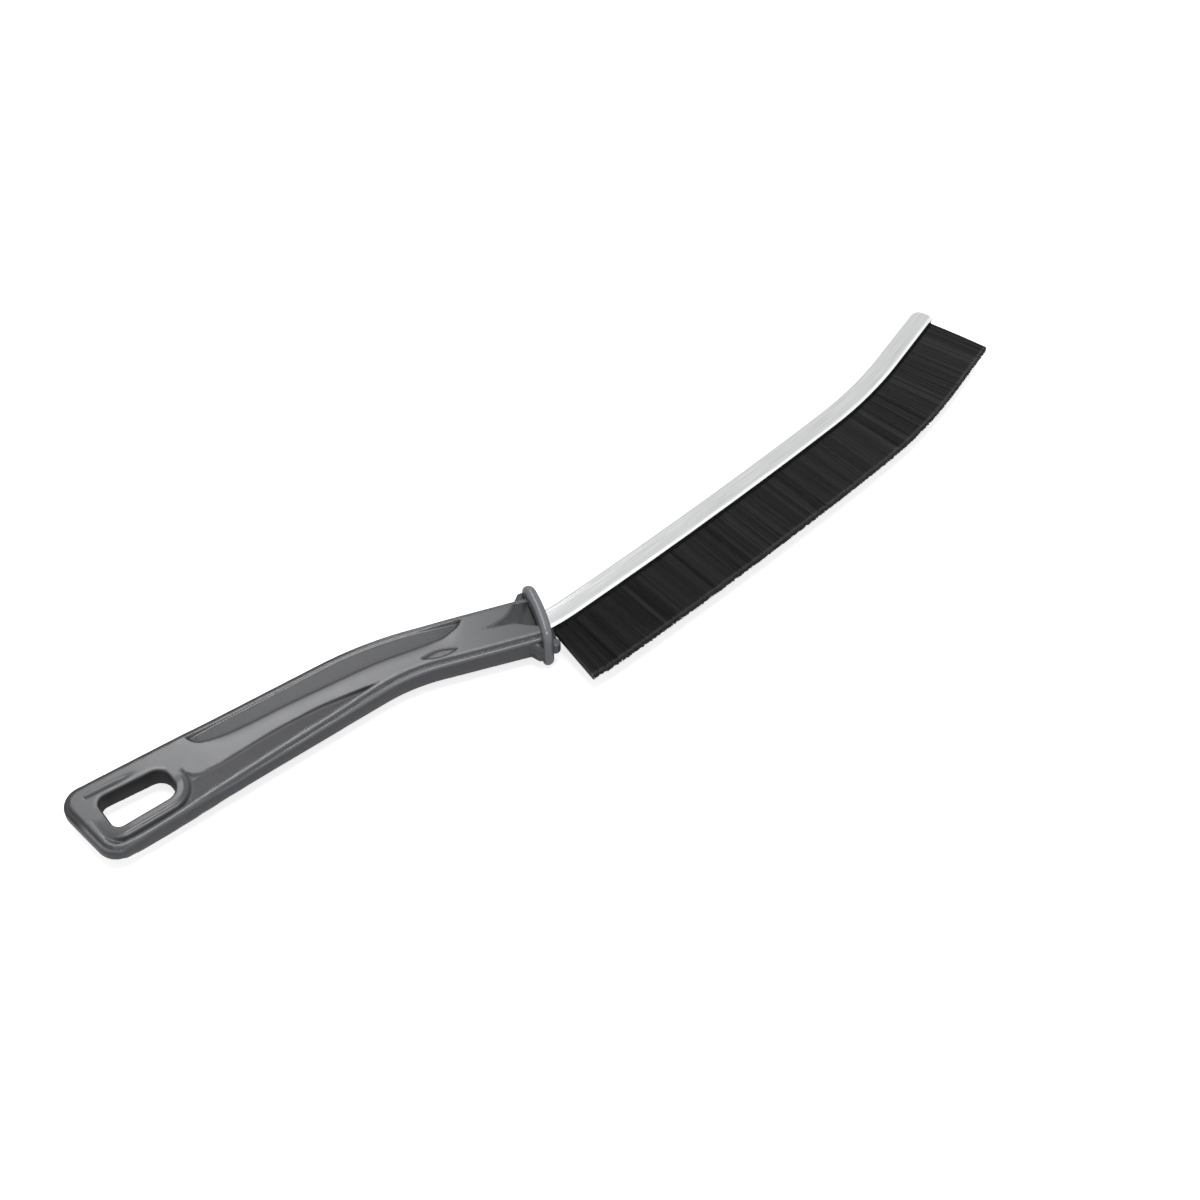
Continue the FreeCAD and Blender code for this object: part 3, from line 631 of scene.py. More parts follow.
def rounded(corners, inset, spacing):
    """Points round a closed outline, counterclockwise, with rounded corners, moved inwards by inset."""
    points = []
    spots = np.array([corner[:2] for corner in corners], dtype=float)
    for index, corner in enumerate(corners):
        back = spots[index] - spots[index - 1]
        ahead = spots[(index + 1) % len(spots)] - spots[index]
        back /= np.linalg.norm(back)
        ahead /= np.linalg.norm(ahead)
        left = np.array((-back[1] - ahead[1], back[0] + ahead[0]))
        place = spots[index] + left * inset / (1 + back @ ahead)
        turn = math.atan2(back[0] * ahead[1] - back[1] * ahead[0], back @ ahead)
        radius = max(corner[2] - math.copysign(inset, turn), 0)
        reach = radius * math.tan(abs(turn) / 2)
        first = place - back * reach
        side = math.copysign(1, turn)
        hub = first + np.array((-back[1], back[0])) * radius * side
        count = max(2, math.ceil(radius * abs(turn) / spacing))
        start = math.atan2(first[1] - hub[1], first[0] - hub[0])
        for step in range(count + 1):
            angle = start + turn * step / count
            points.append(hub + radius * np.array((math.cos(angle), math.sin(angle))))
    line = []
    for index, point in enumerate(points):
        after = points[(index + 1) % len(points)]
        count = max(1, round(np.linalg.norm(after - point) / spacing))
        line.extend(point + (after - point) * step / count for step in range(count))
    return np.array(line)


def curve(knots, places):
    """Smooth curve through knots of rising first number, read at places."""
    x, y = np.array(knots, dtype=float).T
    slope = np.gradient(y, x)
    index = np.clip(np.searchsorted(x, places) - 1, 0, len(x) - 2)
    span = x[index + 1] - x[index]
    share = np.clip((places - x[index]) / span, 0, 1)
    square = share * share
    cube = square * share
    return ((2 * cube - 3 * square + 1) * y[index] + (cube - 2 * square + share) * span * slope[index]
            + (3 * square - 2 * cube) * y[index + 1] + (cube - square) * span * slope[index + 1])


def beyond(knots, along, across):
    """Distance of points above a curve, roughly at right angles to it."""
    small = 0.05
    slope = (curve(knots, along + small) - curve(knots, along - small)) / (2 * small)
    return (across - curve(knots, along)) / np.sqrt(1 + slope * slope)


def distance(points, line):
    """Distance of each point to a closed line."""
    nearest = np.full(len(points), np.inf)
    for start, end in zip(line, np.roll(line, -1, axis=0)):
        way = end - start
        square = way @ way
        if square == 0:
            continue
        share = np.clip((points - start) @ way / square, 0, 1)
        gap = points - start - share[:, None] * way
        nearest = np.minimum(nearest, np.einsum("ij,ij->i", gap, gap))
    return np.sqrt(nearest)


def ease(low, high, values):
    share = np.clip((values - low) / (high - low), 0, 1)
    return share * share * (3 - 2 * share)


def bell(centre, width, values):
    return np.exp(-((values - centre) / width) ** 2)


def neck_places(points):
    """Places along and across the neck, from its end at the guard."""
    offset = points - np.array(NECK_END)
    return offset @ NECK_WAY, offset @ NECK_UP


def face_relief(settings, points, rim, slot):
    """Height of the face, how far each point lies in a recess, and the painted shade and painted highlight at
    each point.
    """
    x, y = points.T
    along, across = neck_places(points)
    rim = np.where(along > -GUARD_REACH, NECK_HALF - np.abs(across), rim)
    share = (x - POMMEL_X) / (GUARD_X - POMMEL_X)
    shoulder = POMMEL_SHOULDER + (GUARD_SHOULDER - POMMEL_SHOULDER) * share
    corner = settings.shoulder_round / MM
    edge = np.clip(rim / corner, 0, 1)
    upper = ease(-MIDDLE_BAND, MIDDLE_BAND, y - curve(MIDDLE, x))
    step = curve(LOWER_STEP, x) * (1 - upper) + UPPER_STEP * upper
    foot = step - HALF_STEP
    height = shoulder - corner + corner * np.sqrt(1 - (1 - edge) ** 2)
    height += settings.face_rise / MM * ease(foot, step + HALF_STEP, rim)
    height -= FOOT_DEPTH * bell(foot, FOOT_WIDTH, rim) * ease(*FOOT_FROM, foot)
    inner = rim - step - settings.rim_width / MM * (1 - UPPER_RIM_CUT_SHARE * upper)

    # Long recess, with the spine rolling off beside it
    over_long = beyond(LONG_EDGE, x, y)
    in_grip = ease(*LONG_START, x) * (1 - ease(*LONG_END, x))
    above = np.where((x > LONG_EDGE[0][0]) & (x < LONG_EDGE[-1][0]), over_long, OUTSIDE)
    long_in = ease(*LONG_WALL, np.minimum(above, inner))
    roll = SPINE_ROLL * np.clip(over_long + SPINE_WIDTH, 0, SPINE_LIMIT) ** 2
    height -= roll * ease(*SPINE_START, x) * (1 - ease(*SPINE_END, x)) * (1 - long_in)
    height -= long_in * (LONG_DEPTH - LONG_SLOPE_SHARE * np.clip(above, 0, LONG_REACH))
    height -= LONG_LINE_DEPTH * bell(*LONG_LINE, above) * ease(*LONG_LINE_RIM, inner) * in_grip

    # Wedge
    in_wedge = (x > WEDGE_EDGE[0][0]) & (x < WEDGE_EDGE[-1][0])
    before = np.where(x <= WEDGE_EDGE[0][0], -OUTSIDE, OUTSIDE)
    under = np.where(in_wedge, -beyond(WEDGE_EDGE, x, y), before)
    wedge_depth = np.minimum(np.minimum(under, inner), RING_SLOPE_SHARE * (slot - RING_REACH))
    wedge_depth = np.where(y < 0, wedge_depth, OUTSIDE)
    wedge_in = ease(*WEDGE_WALL, wedge_depth) * ease(*WEDGE_START, x)
    height -= wedge_in * (WEDGE_DEPTH - WEDGE_SLOPE_SHARE * np.clip(inner, 0, WEDGE_REACH))

    # Scoop at the guard
    top = -beyond(SCOOP_TOP, along, across)
    base = beyond(SCOOP_BASE, along, across)
    scoop_depth = np.minimum(np.minimum(top, base), inner + SCOOP_RIM)
    scoop_in = ease(*SCOOP_WALL, np.where(along > SCOOP_TOP[0][0], scoop_depth, OUTSIDE))
    sunk = SCOOP_DEPTH + SCOOP_SLOPE_SHARE * np.clip(top, 0, SCOOP_BEND)
    height -= scoop_in * (sunk + SCOOP_FLOOR_SHARE * np.clip(top - SCOOP_BEND, 0, SCOOP_REACH))

    # Dimple
    start = np.array(DIMPLE_FROM)
    way = np.array(DIMPLE_TO) - start
    length = np.linalg.norm(way)
    way /= length
    run = (points - start) @ way
    off = (points - start) @ np.array((-way[1], way[0]))
    leaf = DIMPLE_HALF * np.sin(math.pi * np.clip(run / length, 0, 1)) - np.abs(off)
    in_leaf = (run > 0) * (run < length)
    dimple_in = ease(*DIMPLE_WALL, leaf) * in_leaf
    height -= DIMPLE_DEPTH * dimple_in

    # Ring round the slot, the slot's rounded edge and the groove above it
    proud = (1 - ease(*RING_LOWER, y)) * ease(*RING_START, x)
    height += settings.ring_rise / MM * (1 - ease(RING_REACH - RING_WALL, RING_REACH, slot)) * proud
    height -= SLOT_ROUND * (1 - np.sqrt(1 - (1 - np.clip(slot / SLOT_ROUND, 0, 1)) ** 2))
    groove = bell(*GROOVE_LINE, beyond(GROOVE, x, y)) * ease(*GROOVE_START, x) * (1 - ease(*GROOVE_END, x))
    height -= GROOVE_DEPTH * groove

    # Texture with painted shade in the recesses, painted shade lines and painted highlight lines
    at_left = 1 - ease(*POMMEL_END, x)
    lower = (1 - upper) * (1 - at_left)
    inside = ease(*INNER_FADE, inner)
    back_line = upper * ease(*EDGE_HAIRLINE, rim) * (1 - ease(*BACK_LINE_END, rim))
    ring_line = bell(*RING_LINE, wedge_depth) * (1 - ease(*RING_FADE, slot))
    # Recesses: fine texture, darkened by painted shade
    recess = np.maximum.reduce((
        long_in * LONG_TEXTURE_AND_SHADE_SHARE, wedge_in, scoop_in, dimple_in * DIMPLE_TEXTURE_AND_SHADE_SHARE,
    ))
    # Painted shade: dark lines along the edges, the step's foot, the slot, the recesses' edges, the ring, the
    # scoop, the pommel's step, the dimple and the groove
    painted_shade = np.maximum.reduce((
        EDGE_DARK_SHARE * (1 - ease(*EDGE_LINE, rim)) * np.maximum(upper, at_left),
        EDGE_DARK_SHARE * (1 - ease(*EDGE_HAIRLINE, rim)),
        FOOT_DARK_SHARE * lower * bell(foot, FOOT_LINE_WIDTH, rim),
        back_line * (1 - ease(*BACK_LINE_FADE, x)),
        1 - ease(*SLOT_LINE, slot),
        bell(*LONG_DARK_LINE, above) * in_grip * inside,
        WEDGE_DARK_SHARE * bell(*WEDGE_LINE, under) * in_wedge * inside * ease(*WEDGE_RING_GAP, slot),
        WEDGE_DARK_SHARE * ring_line * ease(*WEDGE_START, x),
        SCOOP_DARK_SHARE * scoop_in * ease(*SCOOP_SHADOW, top),
        POMMEL_DARK_SHARE * bell(step, POMMEL_LINE_WIDTH, rim) * (1 - ease(*POMMEL_LINE_END, x)),
        DIMPLE_DARK_SHARE * bell(*DIMPLE_LINE, leaf) * in_leaf,
        groove,
    ))
    # Painted highlights along the lower rim, the shoulder, the pommel's edge and the slot's upper edge
    painted_highlight = np.maximum.reduce((
        lower * bell(step + RIM_LIGHT, RIM_LIGHT_WIDTH, rim),
        lower * bell(*SHOULDER_LIGHT, rim),
        at_left * bell(*POMMEL_LIGHT, rim),
        SLOT_HIGHLIGHT_SHARE * bell(*SLOT_LIGHT, slot) * (y > SLOT_LIGHT_ABOVE) * ease(*SLOT_LIGHT_START, x),
    ))
    return height, recess, painted_shade, painted_highlight


def scatter(settings, outline, slot):
    """Points over the handle's face: rows along its edges and a field between them."""
    spacing = settings.detail / MM
    rows = [rounded(outline, inset, 2 * spacing) for inset in RIM_ROWS]
    rows += [rounded(slot, -outset, spacing) for outset in SLOT_ROWS]
    places = np.arange(LONG_EDGE[0][0], LONG_EDGE[-1][0], spacing)
    rows += [np.column_stack((places, curve(LONG_EDGE, places) + gap)) for gap in EDGE_ROWS]
    places = np.arange(WEDGE_EDGE[0][0], WEDGE_EDGE[-1][0], spacing)
    rows += [np.column_stack((places, curve(WEDGE_EDGE, places) - gap)) for gap in EDGE_ROWS]
    low = rows[0].min(axis=0)
    high = rows[0].max(axis=0)
    columns = np.arange(low[0], high[0], spacing)
    lines = np.arange(low[1], high[1], spacing * math.sin(math.pi / 3))
    field = []
    for number, line in enumerate(lines):
        field.append(np.column_stack((columns + spacing / 2 * (number % 2), np.full(len(columns), line))))
    return rows, np.vstack(field)


def within(points, line):
    """Whether each point lies inside a closed line."""
    inside = np.zeros(len(points), dtype=bool)
    x, y = points.T
    for start, end in zip(line, np.roll(line, -1, axis=0)):
        crosses = (start[1] > y) != (end[1] > y)
        rise = end[1] - start[1]
        if rise == 0:
            continue
        inside ^= crosses & (x < start[0] + (y - start[1]) * (end[0] - start[0]) / rise)
    return inside


def handle_outline(settings):
    """Corners of the handle in plan, with their radii, run on into the guard."""
    end = np.array(NECK_END) + NECK_WAY * INTO_GUARD
    low = end - NECK_UP * NECK_HALF
    high = end + NECK_UP * NECK_HALF
    corner = settings.pommel_corner / MM
    return (
        (*END_BOTTOM, corner), (*THROAT, settings.throat_round / MM), (*low, SQUARE), (*high, SQUARE),
        (*CREST, settings.crest_round / MM), (*END_TOP, corner),
    )


def handle_face(settings):
    """One face of the handle as a bmesh, with its relief, its textured recesses, its painted shade and its
    painted highlights.
    """
    outline = handle_outline(settings)
    rows, field = scatter(settings, outline, SLOT_CORNERS)
    rim_line = rows[0]
    slot_line = rows[len(RIM_ROWS)]
    loose = np.vstack(rows[1:len(RIM_ROWS)] + rows[len(RIM_ROWS) + 1:] + [field])
    loose = loose[within(loose, rim_line) & ~within(loose, slot_line)]
    for line in (rim_line, slot_line):
        loose = loose[distance(loose, line) > ROW_CLEARANCE]
    points = np.vstack((rim_line, slot_line, loose))
    first = len(rim_line)
    edges = [(step, (step + 1) % first) for step in range(first)]
    edges += [(first + step, first + (step + 1) % len(slot_line)) for step in range(len(slot_line))]
    flat = [Vector(point) for point in points]
    spots, _, faces, _, _, _ = delaunay_2d_cdt(flat, edges, [], INSIDE_ONLY, MERGE_DISTANCE)
    spots = np.array(spots)
    rim = distance(spots, rim_line)
    slot = distance(spots, slot_line)
    height, recess, painted_shade, painted_highlight = face_relief(settings, spots, rim, slot)
    face = bmesh.new()
    layers = [face.verts.layers.float.new(name) for name in ("recess", "painted_shade", "painted_highlight")]
    verts = []
    for spot, level, *looks in zip(spots, height, recess, painted_shade, painted_highlight):
        vert = face.verts.new((spot[0] * MM, spot[1] * MM, level * MM))
        for layer, look in zip(layers, looks):
            vert[layer] = look
        verts.append(vert)
    on_slot = slot < ON_LINE
    for triple in faces:
        if not all(on_slot[index] for index in triple):
            face.faces.new([verts[index] for index in triple])
    return face


def add_flare(settings, block, side, shade_layer):
    """Fillet from one edge of the neck out to the guard's end."""
    back = settings.guard_thickness + settings.guard_flare
    front = FLARE_FRONT_SHARE * settings.guard_thickness
    beside = NECK_HALF * MM
    reach = FLARE_WIDTH_SHARE * settings.guard_width / 2
    low = -FLARE_DEPTH_SHARE * settings.guard_depth / 2
    inside = FLARE_INSIDE_SHARE * beside
    corners = [(-front, inside), (-back, inside)]
    for share in np.linspace(0, 1, FLARE_STEPS):
        rise = ease(0.0, FLARE_RISE_SHARE, share)
        corners.append((-back + (back - front) * share, beside + (reach - beside) * rise))
    profile = block.faces.new([block.verts.new((x, side * y, low)) for x, y in corners])
    swept = bmesh.ops.extrude_face_region(block, geom=[profile])["geom"]
    raised = [item for item in swept if isinstance(item, bmesh.types.BMVert)]
    bmesh.ops.translate(block, verts=raised, vec=(0, 0, -2 * low))
    for vert in raised + profile.verts[:]:
        # Painted shade on the flare's walls
        vert[shade_layer] = WALL_PAINTED_SHADE


def guard_block(settings):
    """The guard, bowed back at its ends, and its lug, in their place."""
    block = bmesh.new()
    bar = settings.guard_thickness
    wide = settings.guard_width
    painted_gleam = block.verts.layers.float.new("painted_highlight")
    shade_layer = block.verts.layers.float.new("painted_shade")
    box = bmesh.ops.create_cube(block, size=1)["verts"]
    bmesh.ops.scale(block, verts=box, vec=(bar, wide, settings.guard_depth))
    bmesh.ops.translate(block, verts=box, vec=(-bar / 2, 0, 0))
    corners = [edge for edge in block.edges if edge.verts[0].co.x != edge.verts[1].co.x]
    bevelled(block, corners, settings.guard_corner, CORNER_STEPS)
    rims = [edge for edge in block.edges if edge.verts[0].co.x == edge.verts[1].co.x]
    bevelled(block, rims, BAR_ROUND_SHARE * bar, RIM_STEPS)
    # Painted highlight along the middle of the bar's rounded rim, fading to its sides
    for vert in block.verts:
        off_ridge = (vert.co.x + bar / 2) / (bar / 2)
        vert[painted_gleam] = BAR_PAINTED_HIGHLIGHT * max(0.0, 1 - off_ridge ** 2)
    for side in (-1, 1):
        add_flare(settings, block, side, shade_layer)
    for share in BOW_CUT_SHARES:
        sliced(block, (0, share * wide, 0), (0, 1, 0))
    for vert in block.verts:
        vert.co.x -= settings.guard_bow * (2 * vert.co.y / wide) ** 2
    lug = bmesh.ops.create_cone(
        block, cap_ends=True, segments=LUG_SIDES, radius1=settings.nose_radius, radius2=settings.nose_radius,
        depth=settings.nose_depth,
    )["verts"]
    ends = {edge for vert in lug for edge in vert.link_edges if edge.verts[0].co.z * edge.verts[1].co.z > 0}
    bmesh.ops.translate(block, verts=lug, vec=(0, -settings.nose_offset, 0))
    bevelled(block, list(ends), LUG_ROUND_SHARE * settings.nose_radius, LUG_ROUND_STEPS)
    web = bmesh.ops.create_cube(block, size=1)["verts"]
    bmesh.ops.scale(block, verts=web, vec=(settings.web_thickness, settings.web_length, settings.web_depth))
    bmesh.ops.translate(block, verts=web, vec=(0, settings.web_length / 2 - settings.nose_offset, 0))
    # The web is painted black all over, as painted shade between the lug and the bristles
    for vert in web:
        vert[shade_layer] = 1.0
    bmesh.ops.rotate(block, verts=block.verts, cent=(0, 0, 0), matrix=Matrix.Rotation(-NECK_DIP, 3, "Z"))
    bmesh.ops.translate(block, verts=block.verts, vec=(*bpy.context.scene.crevice_strip.guard, 0))
    return as_mesh("guard_block", block)


class MakeHandle(bpy.types.Operator):
    """Make the moulded handle: both faces with their relief, the edges and the guard"""
    bl_idname = "crevice_brush.make_handle"
    bl_label = "Handle"

    def execute(self, context):
        settings = context.scene.crevice_handle
        body = handle_face(settings)
        border = [edge for edge in body.edges if edge.is_boundary]
        walls = bmesh.ops.extrude_edge_only(body, edges=border)["geom"]
        for vert in walls:
            if isinstance(vert, bmesh.types.BMVert):
                vert.co.z = 0
        half = body.verts[:] + body.edges[:] + body.faces[:]
        bmesh.ops.mirror(body, geom=half, axis="Z", merge_dist=MM * MM)
        bmesh.ops.remove_doubles(body, verts=[vert for vert in body.verts if vert.co.z == 0], dist=MM * MM)
        bmesh.ops.recalc_face_normals(body, faces=body.faces)
        guard = guard_block(settings)
        body.from_mesh(guard)
        bpy.data.meshes.remove(guard)
        mesh = as_mesh("moulded_handle", body)
        piece = linked("moulded_handle", mesh)
        mesh.shade_smooth()
        mesh.materials.append(plastic_material(settings))
        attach(piece, ROOT_BODY)
        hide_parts("handle")
        return {"FINISHED"}


# The strip's tang in millimetres, how often a search halves its range, and the sharpest smooth fold
TANG_LENGTH = 12
HALVINGS = 60
SMOOTH_FOLD = math.radians(35)


def strip_ways(heading):
    """Directions along the strip and out through its lips."""
    along = Vector((math.cos(heading), math.sin(heading), 0))
    outward = Vector((math.sin(heading), -math.cos(heading), 0))
    return along, outward


def strip_point(strip, run):
    """Point and heading of the strip's line, a run along it from the guard."""
    heading = -strip.dip
    here = Vector((*strip.guard, 0))
    left = run
    arcs = (
        (strip.root_radius, strip.root_turn),
        (strip.blade_length / strip.blade_turn, strip.blade_turn),
        (strip.tip_radius, strip.tip_turn),
    )
    for radius, turn in arcs:
        angle = min(turn, left / radius)
        centre = here - strip_ways(heading)[1] * radius
        heading += angle
        here = centre + strip_ways(heading)[1] * radius
        left -= angle * radius
    return here + strip_ways(heading)[0] * left, heading


def strip_length(strip):
    bends = strip.root_radius * strip.root_turn + strip.blade_length + strip.tip_radius * strip.tip_turn
    return bends + strip.tip_straight


def strip_place(strip, point):
    """Distance along the strip's line and across it, of a point beside it."""
    low = -TANG_LENGTH * MM
    high = strip_length(strip)
    for halving in range(HALVINGS):
        middle = (low + high) / 2
        here, heading = strip_point(strip, middle)
        along, outward = strip_ways(heading)
        if (point - here).dot(along) > 0:
            low = middle
        else:
            high = middle
    return middle, (here - point).dot(outward)


class MakeChannel(bpy.types.Operator):
    """Make the folded channel, and finish its wire and the clamped filaments"""
    bl_idname = "crevice_brush.make_channel"
    bl_label = "Channel and wire"

    def execute(self, context):
        settings = context.scene.crevice_channel
        strip = context.scene.crevice_strip
        sheet = bmesh.new()
        sheet.from_mesh(frame["nodes"]["channel"].data)
        bmesh.ops.remove_doubles(sheet, verts=sheet.verts, dist=MM * MM)
        for edge in sheet.edges:
            edge.smooth = edge.is_manifold and edge.calc_face_angle() < SMOOTH_FOLD
        for face in sheet.faces:
            face.smooth = True
        along = sheet.verts.layers.float.new("along")
        across = sheet.verts.layers.float.new("across")
        for vert in sheet.verts:
            vert[along], vert[across] = strip_place(strip, vert.co)
        mesh = as_mesh("folded_channel", sheet)
        piece = linked("folded_channel", mesh)
        mesh.materials.append(sheet_material(settings.colour, settings.roughness, strip.half_height))
        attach(piece, ROOT_BODY)
        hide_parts("channel")
        repaint("core_wire", wire_material(shade(settings.colour, WIRE_SHARE), settings.roughness))
        repaint("filament_roots", clamped_material(context.scene.crevice_bristles))
        return {"FINISHED"}


# Filaments: sides, rings, the painted root shade and the painted highlight near the cut ends as shares of
# their length, and shares of the settings
FILAMENT_SIDES = 3
RING_SHARES = (0.09, 0.115, 0.3, 0.5, 0.72, 0.94, 0.975)
ROOT_END_SHARE = 0.1
CUT_END_SHARES = (0.95, 0.99)
CLUMP_WIDTH_SHARES = (0.5, 1.5)
CLUMP_LEAN_SHARE = 0.25
CLUMP_LIFT_SHARE = 0.2
ROW_SHARES = (-0.5, 0.5)
GATHER_SHARES = (0.3, 1.0)
STRAND_LEAN_SHARE = 1 / 3
STRAY_SHARE = 0.02
STRAY_LEAN_SHARE = 5
ROW_FILL_SHARE = 0.9
LIFT_FILL_SHARE = 0.12
CURL_SHARE = 0.5
CLUMP_TONE_SHARE = 0.5


def filament_form():
    """One filament of unit length and radius along +Z, as a mesh of a few faces."""
    form = bmesh.new()
    bmesh.ops.create_cone(form, cap_ends=True, segments=FILAMENT_SIDES, radius1=1, radius2=1, depth=1)
    bmesh.ops.translate(form, verts=form.verts, vec=(0, 0, 0.5))
    for level in RING_SHARES:
        sliced(form, (0, 0, level), (0, 0, 1))
    return as_mesh("filament_form", form)


class MakeBristles(bpy.types.Operator):
    """Make the nylon filaments of every section, in clumps"""
    bl_idname = "crevice_brush.make_bristles"
    bl_label = "Bristles"

    def execute(self, context):
        settings = context.scene.crevice_bristles
        strip = context.scene.crevice_strip
        chance = random.Random(settings.seed)
        form = filament_form()
        material = filament_material(settings)
        whole = strip_length(strip) - settings.first - settings.last
        step = whole / len(SECTIONS)
        for index, section in enumerate(SECTIONS):
            start = settings.first + index * step
            piece = self.section(settings, strip, chance, form, start, step, "filaments_" + section)
            piece.data.materials.append(material)
            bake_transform(piece)
            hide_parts(*TUFTS[section])
        bpy.data.meshes.remove(form)
        return {"FINISHED"}

    def section(self, settings, strip, chance, form, start, step, name):
        clumps = []
        edge = 0.0
        while edge < step:
            width = settings.clump * chance.uniform(*CLUMP_WIDTH_SHARES)
            lean = chance.gauss(0, CLUMP_LEAN_SHARE * settings.lean)
            lean = max(-settings.lean, min(settings.lean, lean))
            lift = chance.gauss(0, CLUMP_LIFT_SHARE)
            clumps.append((edge, min(width, step - edge), lean, lift, chance.random()))
            edge += width
        mesh = bmesh.new()
        strand = mesh.verts.layers.float.new("strand")
        painted_tip_highlight = mesh.verts.layers.float.new("painted_tip_highlight")
        shaded = mesh.verts.layers.float.new("root")
        count = len(form.vertices)
        up = Vector((0, 0, 1))
        at_guard = start == settings.first
        at_tip = start == settings.first + (len(SECTIONS) - 1) * step
        for number in range(settings.per_section):
            along = (number + chance.random()) / settings.per_section * step
            begin, width, lean, lift, tint = max(item for item in clumps if item[0] <= along)
            lip, heading = strip_point(strip, start + along)
            side, outward = strip_ways(heading)
            level = chance.uniform(*ROW_SHARES)
            base = lip + outward * (strip.half_height - settings.rooted)
            drift = (begin + width / 2 - along) * settings.gather * chance.uniform(*GATHER_SHARES) + lean
            drift += chance.gauss(0, STRAND_LEAN_SHARE * settings.lean)
            if chance.random() < STRAY_SHARE:
                drift += chance.gauss(0, STRAY_LEAN_SHARE * settings.lean)
            lowest = settings.radius * 2 - along if at_guard else -step
            highest = step - along - settings.radius * 2 if at_tip else step
            drift = max(lowest, min(highest, drift))
            reach = settings.length + settings.rooted - chance.uniform(0, settings.uneven)
            rise = settings.depth * (level * ROW_FILL_SHARE + lift * LIFT_FILL_SHARE)
            rise = max(-settings.depth / 2, min(settings.depth / 2, rise))
            curl = chance.gauss(0, CURL_SHARE * settings.lean)
            tone = CLUMP_TONE_SHARE * tint + (1 - CLUMP_TONE_SHARE) * chance.random()
            mesh.from_mesh(form)
            mesh.verts.ensure_lookup_table()
            for vert in mesh.verts[-count:]:
                share = vert.co.z
                centre = base + outward * (share * reach)
                centre += side * (drift * share * share + curl * math.sin(math.pi * share))
                centre += up * (level * settings.pinch * (1 - share) + rise * share)
                vert.co = centre + side * (vert.co.x * settings.radius) + up * (vert.co.y * settings.radius)
                vert[strand] = tone
                # Painted highlight on the filaments' sides just before their cut ends; the end caps stay dark
                vert[painted_tip_highlight] = 1.0 if CUT_END_SHARES[0] < share < CUT_END_SHARES[1] else 0.0
                # Painted shade at the roots, under the lips
                vert[shaded] = 1.0 if share < ROOT_END_SHARE else 0.0
        bmesh.ops.recalc_face_normals(mesh, faces=mesh.faces)
        return linked(name, as_mesh(name, mesh))


# Stage: floor, world, lamps in metres and watts, and the camera's sensor in millimetres
FLOOR_HALF = 3.0
FLOOR_ROUGHNESS = 0.9
FLOOR_GLOW = 0.75
WHITE = (1, 1, 1, 1)
WORLD_LIGHT = 0.35
WORLD_SEEN = 1.0
LAMP_AIM = Vector((0.1, -0.01, 0))
LAMPS = (
    ("back_softbox", (0.218, 0.5, 0.68), (0.24, 0.26), 1.12),
    ("top_softbox", (0.1, -0.05, 1.0), (0.4, 0.4), 4.2),
)
SENSOR_WIDTH = 36.0
NEAREST_SEEN = 0.01


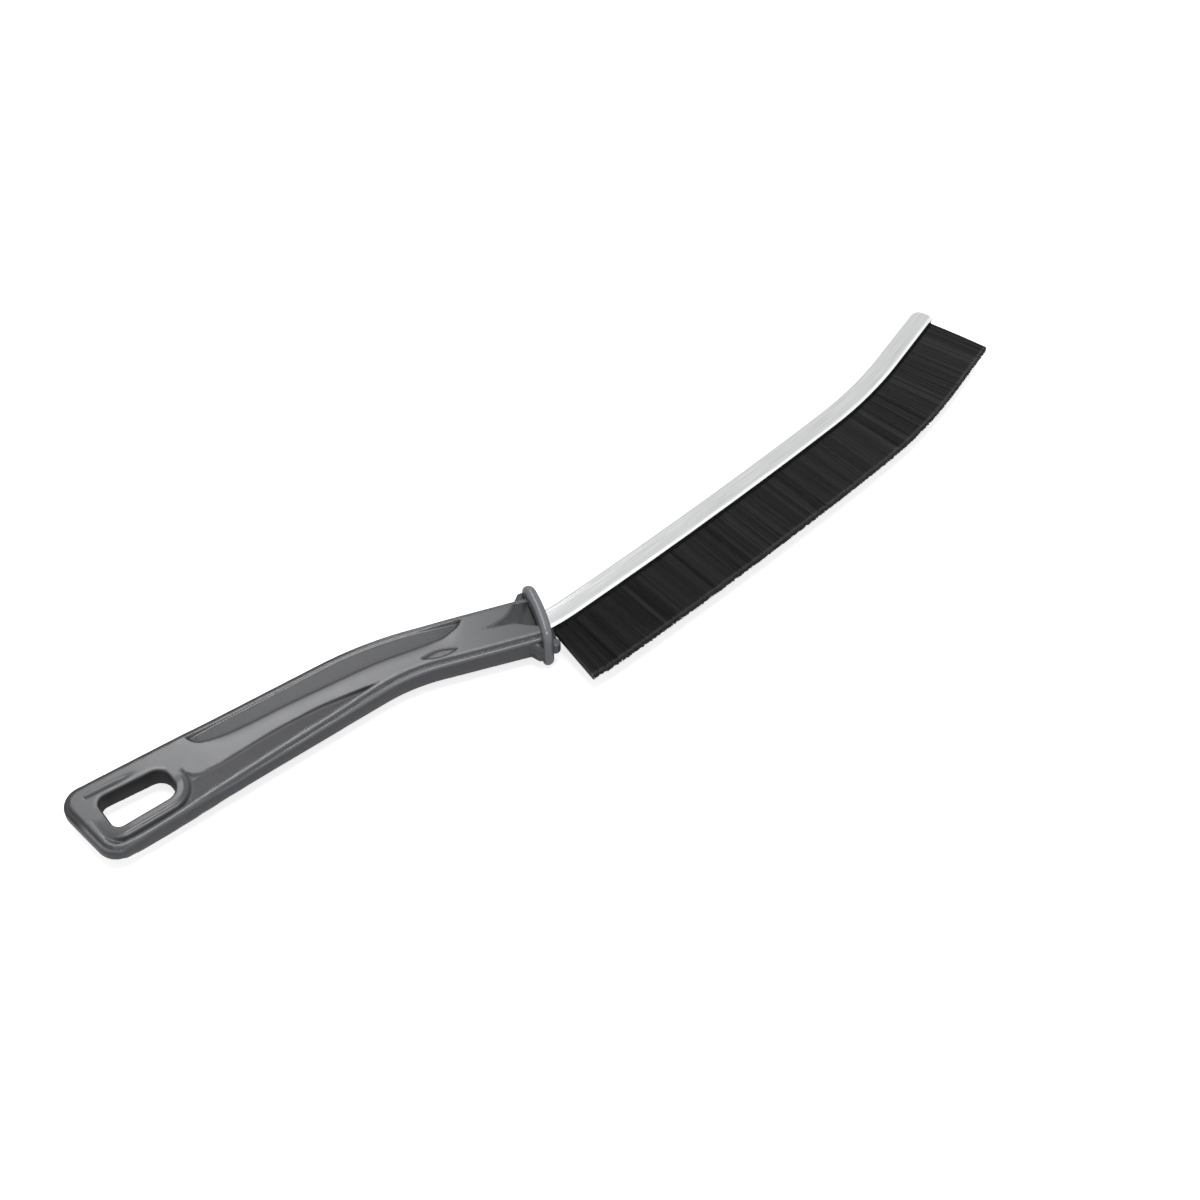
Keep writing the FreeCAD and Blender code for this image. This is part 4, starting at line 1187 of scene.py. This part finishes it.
class MakeStage(bpy.types.Operator):
    """Make the floor, the soft light and the camera"""
    bl_idname = "crevice_brush.make_stage"
    bl_label = "Stage"

    def execute(self, context):
        settings = context.scene.crevice_stage
        self.floor(settings)
        self.world(context)
        self.lamps()
        self.camera(context, settings)
        context.scene.view_settings.view_transform = "Standard"
        return {"FINISHED"}

    def floor(self, settings):
        ground = bmesh.new()
        bmesh.ops.create_grid(ground, x_segments=1, y_segments=1, size=FLOOR_HALF)
        bmesh.ops.translate(ground, verts=ground.verts, vec=(0, 0, CAD_BOX[0][2]))
        mesh = as_mesh("floor", ground)
        floor = linked("floor", mesh)
        material, tree, shader = new_material("floor_paper")
        shader.inputs["Base Color"].default_value = (*settings.floor, 1)
        shader.inputs["Roughness"].default_value = FLOOR_ROUGHNESS
        shader.inputs["Specular IOR Level"].default_value = 0.0
        output = tree.get_output_node("ALL")
        glow = add(tree, "ShaderNodeEmission", Color=WHITE, Strength=FLOOR_GLOW)
        both = tree.nodes.new("ShaderNodeAddShader")
        tree.links.new(shader.outputs["BSDF"], both.inputs[0])
        tree.links.new(glow.outputs["Emission"], both.inputs[1])
        path = tree.nodes.new("ShaderNodeLightPath")
        seen = path.outputs["Is Camera Ray"]
        picked(tree, seen, shader.outputs["BSDF"], both.outputs["Shader"], output.inputs["Surface"])
        mesh.materials.append(material)

    def world(self, context):
        world = bpy.data.worlds.new("studio")
        context.scene.world = world
        world.use_nodes = True
        tree = world.node_tree
        tree.nodes.clear()
        output = tree.nodes.new("ShaderNodeOutputWorld")
        light = add(tree, "ShaderNodeBackground", Color=WHITE, Strength=WORLD_LIGHT)
        seen = add(tree, "ShaderNodeBackground", Color=WHITE, Strength=WORLD_SEEN)
        path = tree.nodes.new("ShaderNodeLightPath")
        either = maths(tree, "MAXIMUM", path.outputs["Is Camera Ray"], path.outputs["Is Glossy Ray"])
        any_of = maths(tree, "MAXIMUM", either, path.outputs["Is Transmission Ray"])
        target = output.inputs["Surface"]
        picked(tree, any_of, light.outputs["Background"], seen.outputs["Background"], target)

    def lamps(self):
        for name, place, size, power in LAMPS:
            data = bpy.data.lights.new(name, "AREA")
            data.shape = "RECTANGLE"
            data.size, data.size_y = size
            data.energy = power
            lamp = linked(name, data)
            lamp.location = place
            lamp.rotation_euler = (LAMP_AIM - Vector(place)).to_track_quat("-Z", "Y").to_euler()

    def camera(self, context, settings):
        data = bpy.data.cameras.new("camera")
        data.lens = settings.lens
        data.sensor_width = SENSOR_WIDTH
        data.clip_start = NEAREST_SEEN
        camera = linked("camera", data)
        camera.location = settings.camera
        way = Vector(settings.target) - Vector(settings.camera)
        camera.rotation_euler = way.to_track_quat("-Z", "Y").to_euler()
        context.scene.camera = camera


class BrushPanel(bpy.types.Panel):
    """Sizes, colours and operators of the crevice brush"""
    bl_idname = "VIEW3D_PT_crevice_brush"
    bl_label = "Crevice Brush"
    bl_space_type = "VIEW_3D"
    bl_region_type = "UI"
    bl_category = "Crevice Brush"

    def draw(self, context):
        for operator, groups in STEPS:
            box = self.layout.box()
            box.operator(operator.bl_idname)
            for group in groups:
                settings = getattr(context.scene, group)
                for name in type(settings).__annotations__:
                    box.prop(settings, name)


SETTINGS = {
    "crevice_handle": HandleSettings,
    "crevice_channel": ChannelSettings,
    "crevice_strip": StripSettings,
    "crevice_bristles": BristleSettings,
    "crevice_stage": StageSettings,
}
STEPS = (
    (MakeHandle, ("crevice_handle",)),
    (MakeChannel, ("crevice_channel", "crevice_strip")),
    (MakeBristles, ("crevice_bristles",)),
    (MakeStage, ("crevice_stage",)),
)
CLASSES = (*SETTINGS.values(), *(operator for operator, groups in STEPS), BrushPanel)


def register():
    for item in CLASSES:
        bpy.utils.register_class(item)
    for name, group in SETTINGS.items():
        setattr(bpy.types.Scene, name, PointerProperty(type=group))


def unregister():
    for name in SETTINGS:
        delattr(bpy.types.Scene, name)
    for item in reversed(CLASSES):
        bpy.utils.unregister_class(item)


def main():
    register()
    bpy.ops.crevice_brush.make_handle()
    bpy.ops.crevice_brush.make_channel()
    bpy.ops.crevice_brush.make_bristles()
    bpy.ops.crevice_brush.make_stage()


if __name__ == "__main__":
    main()
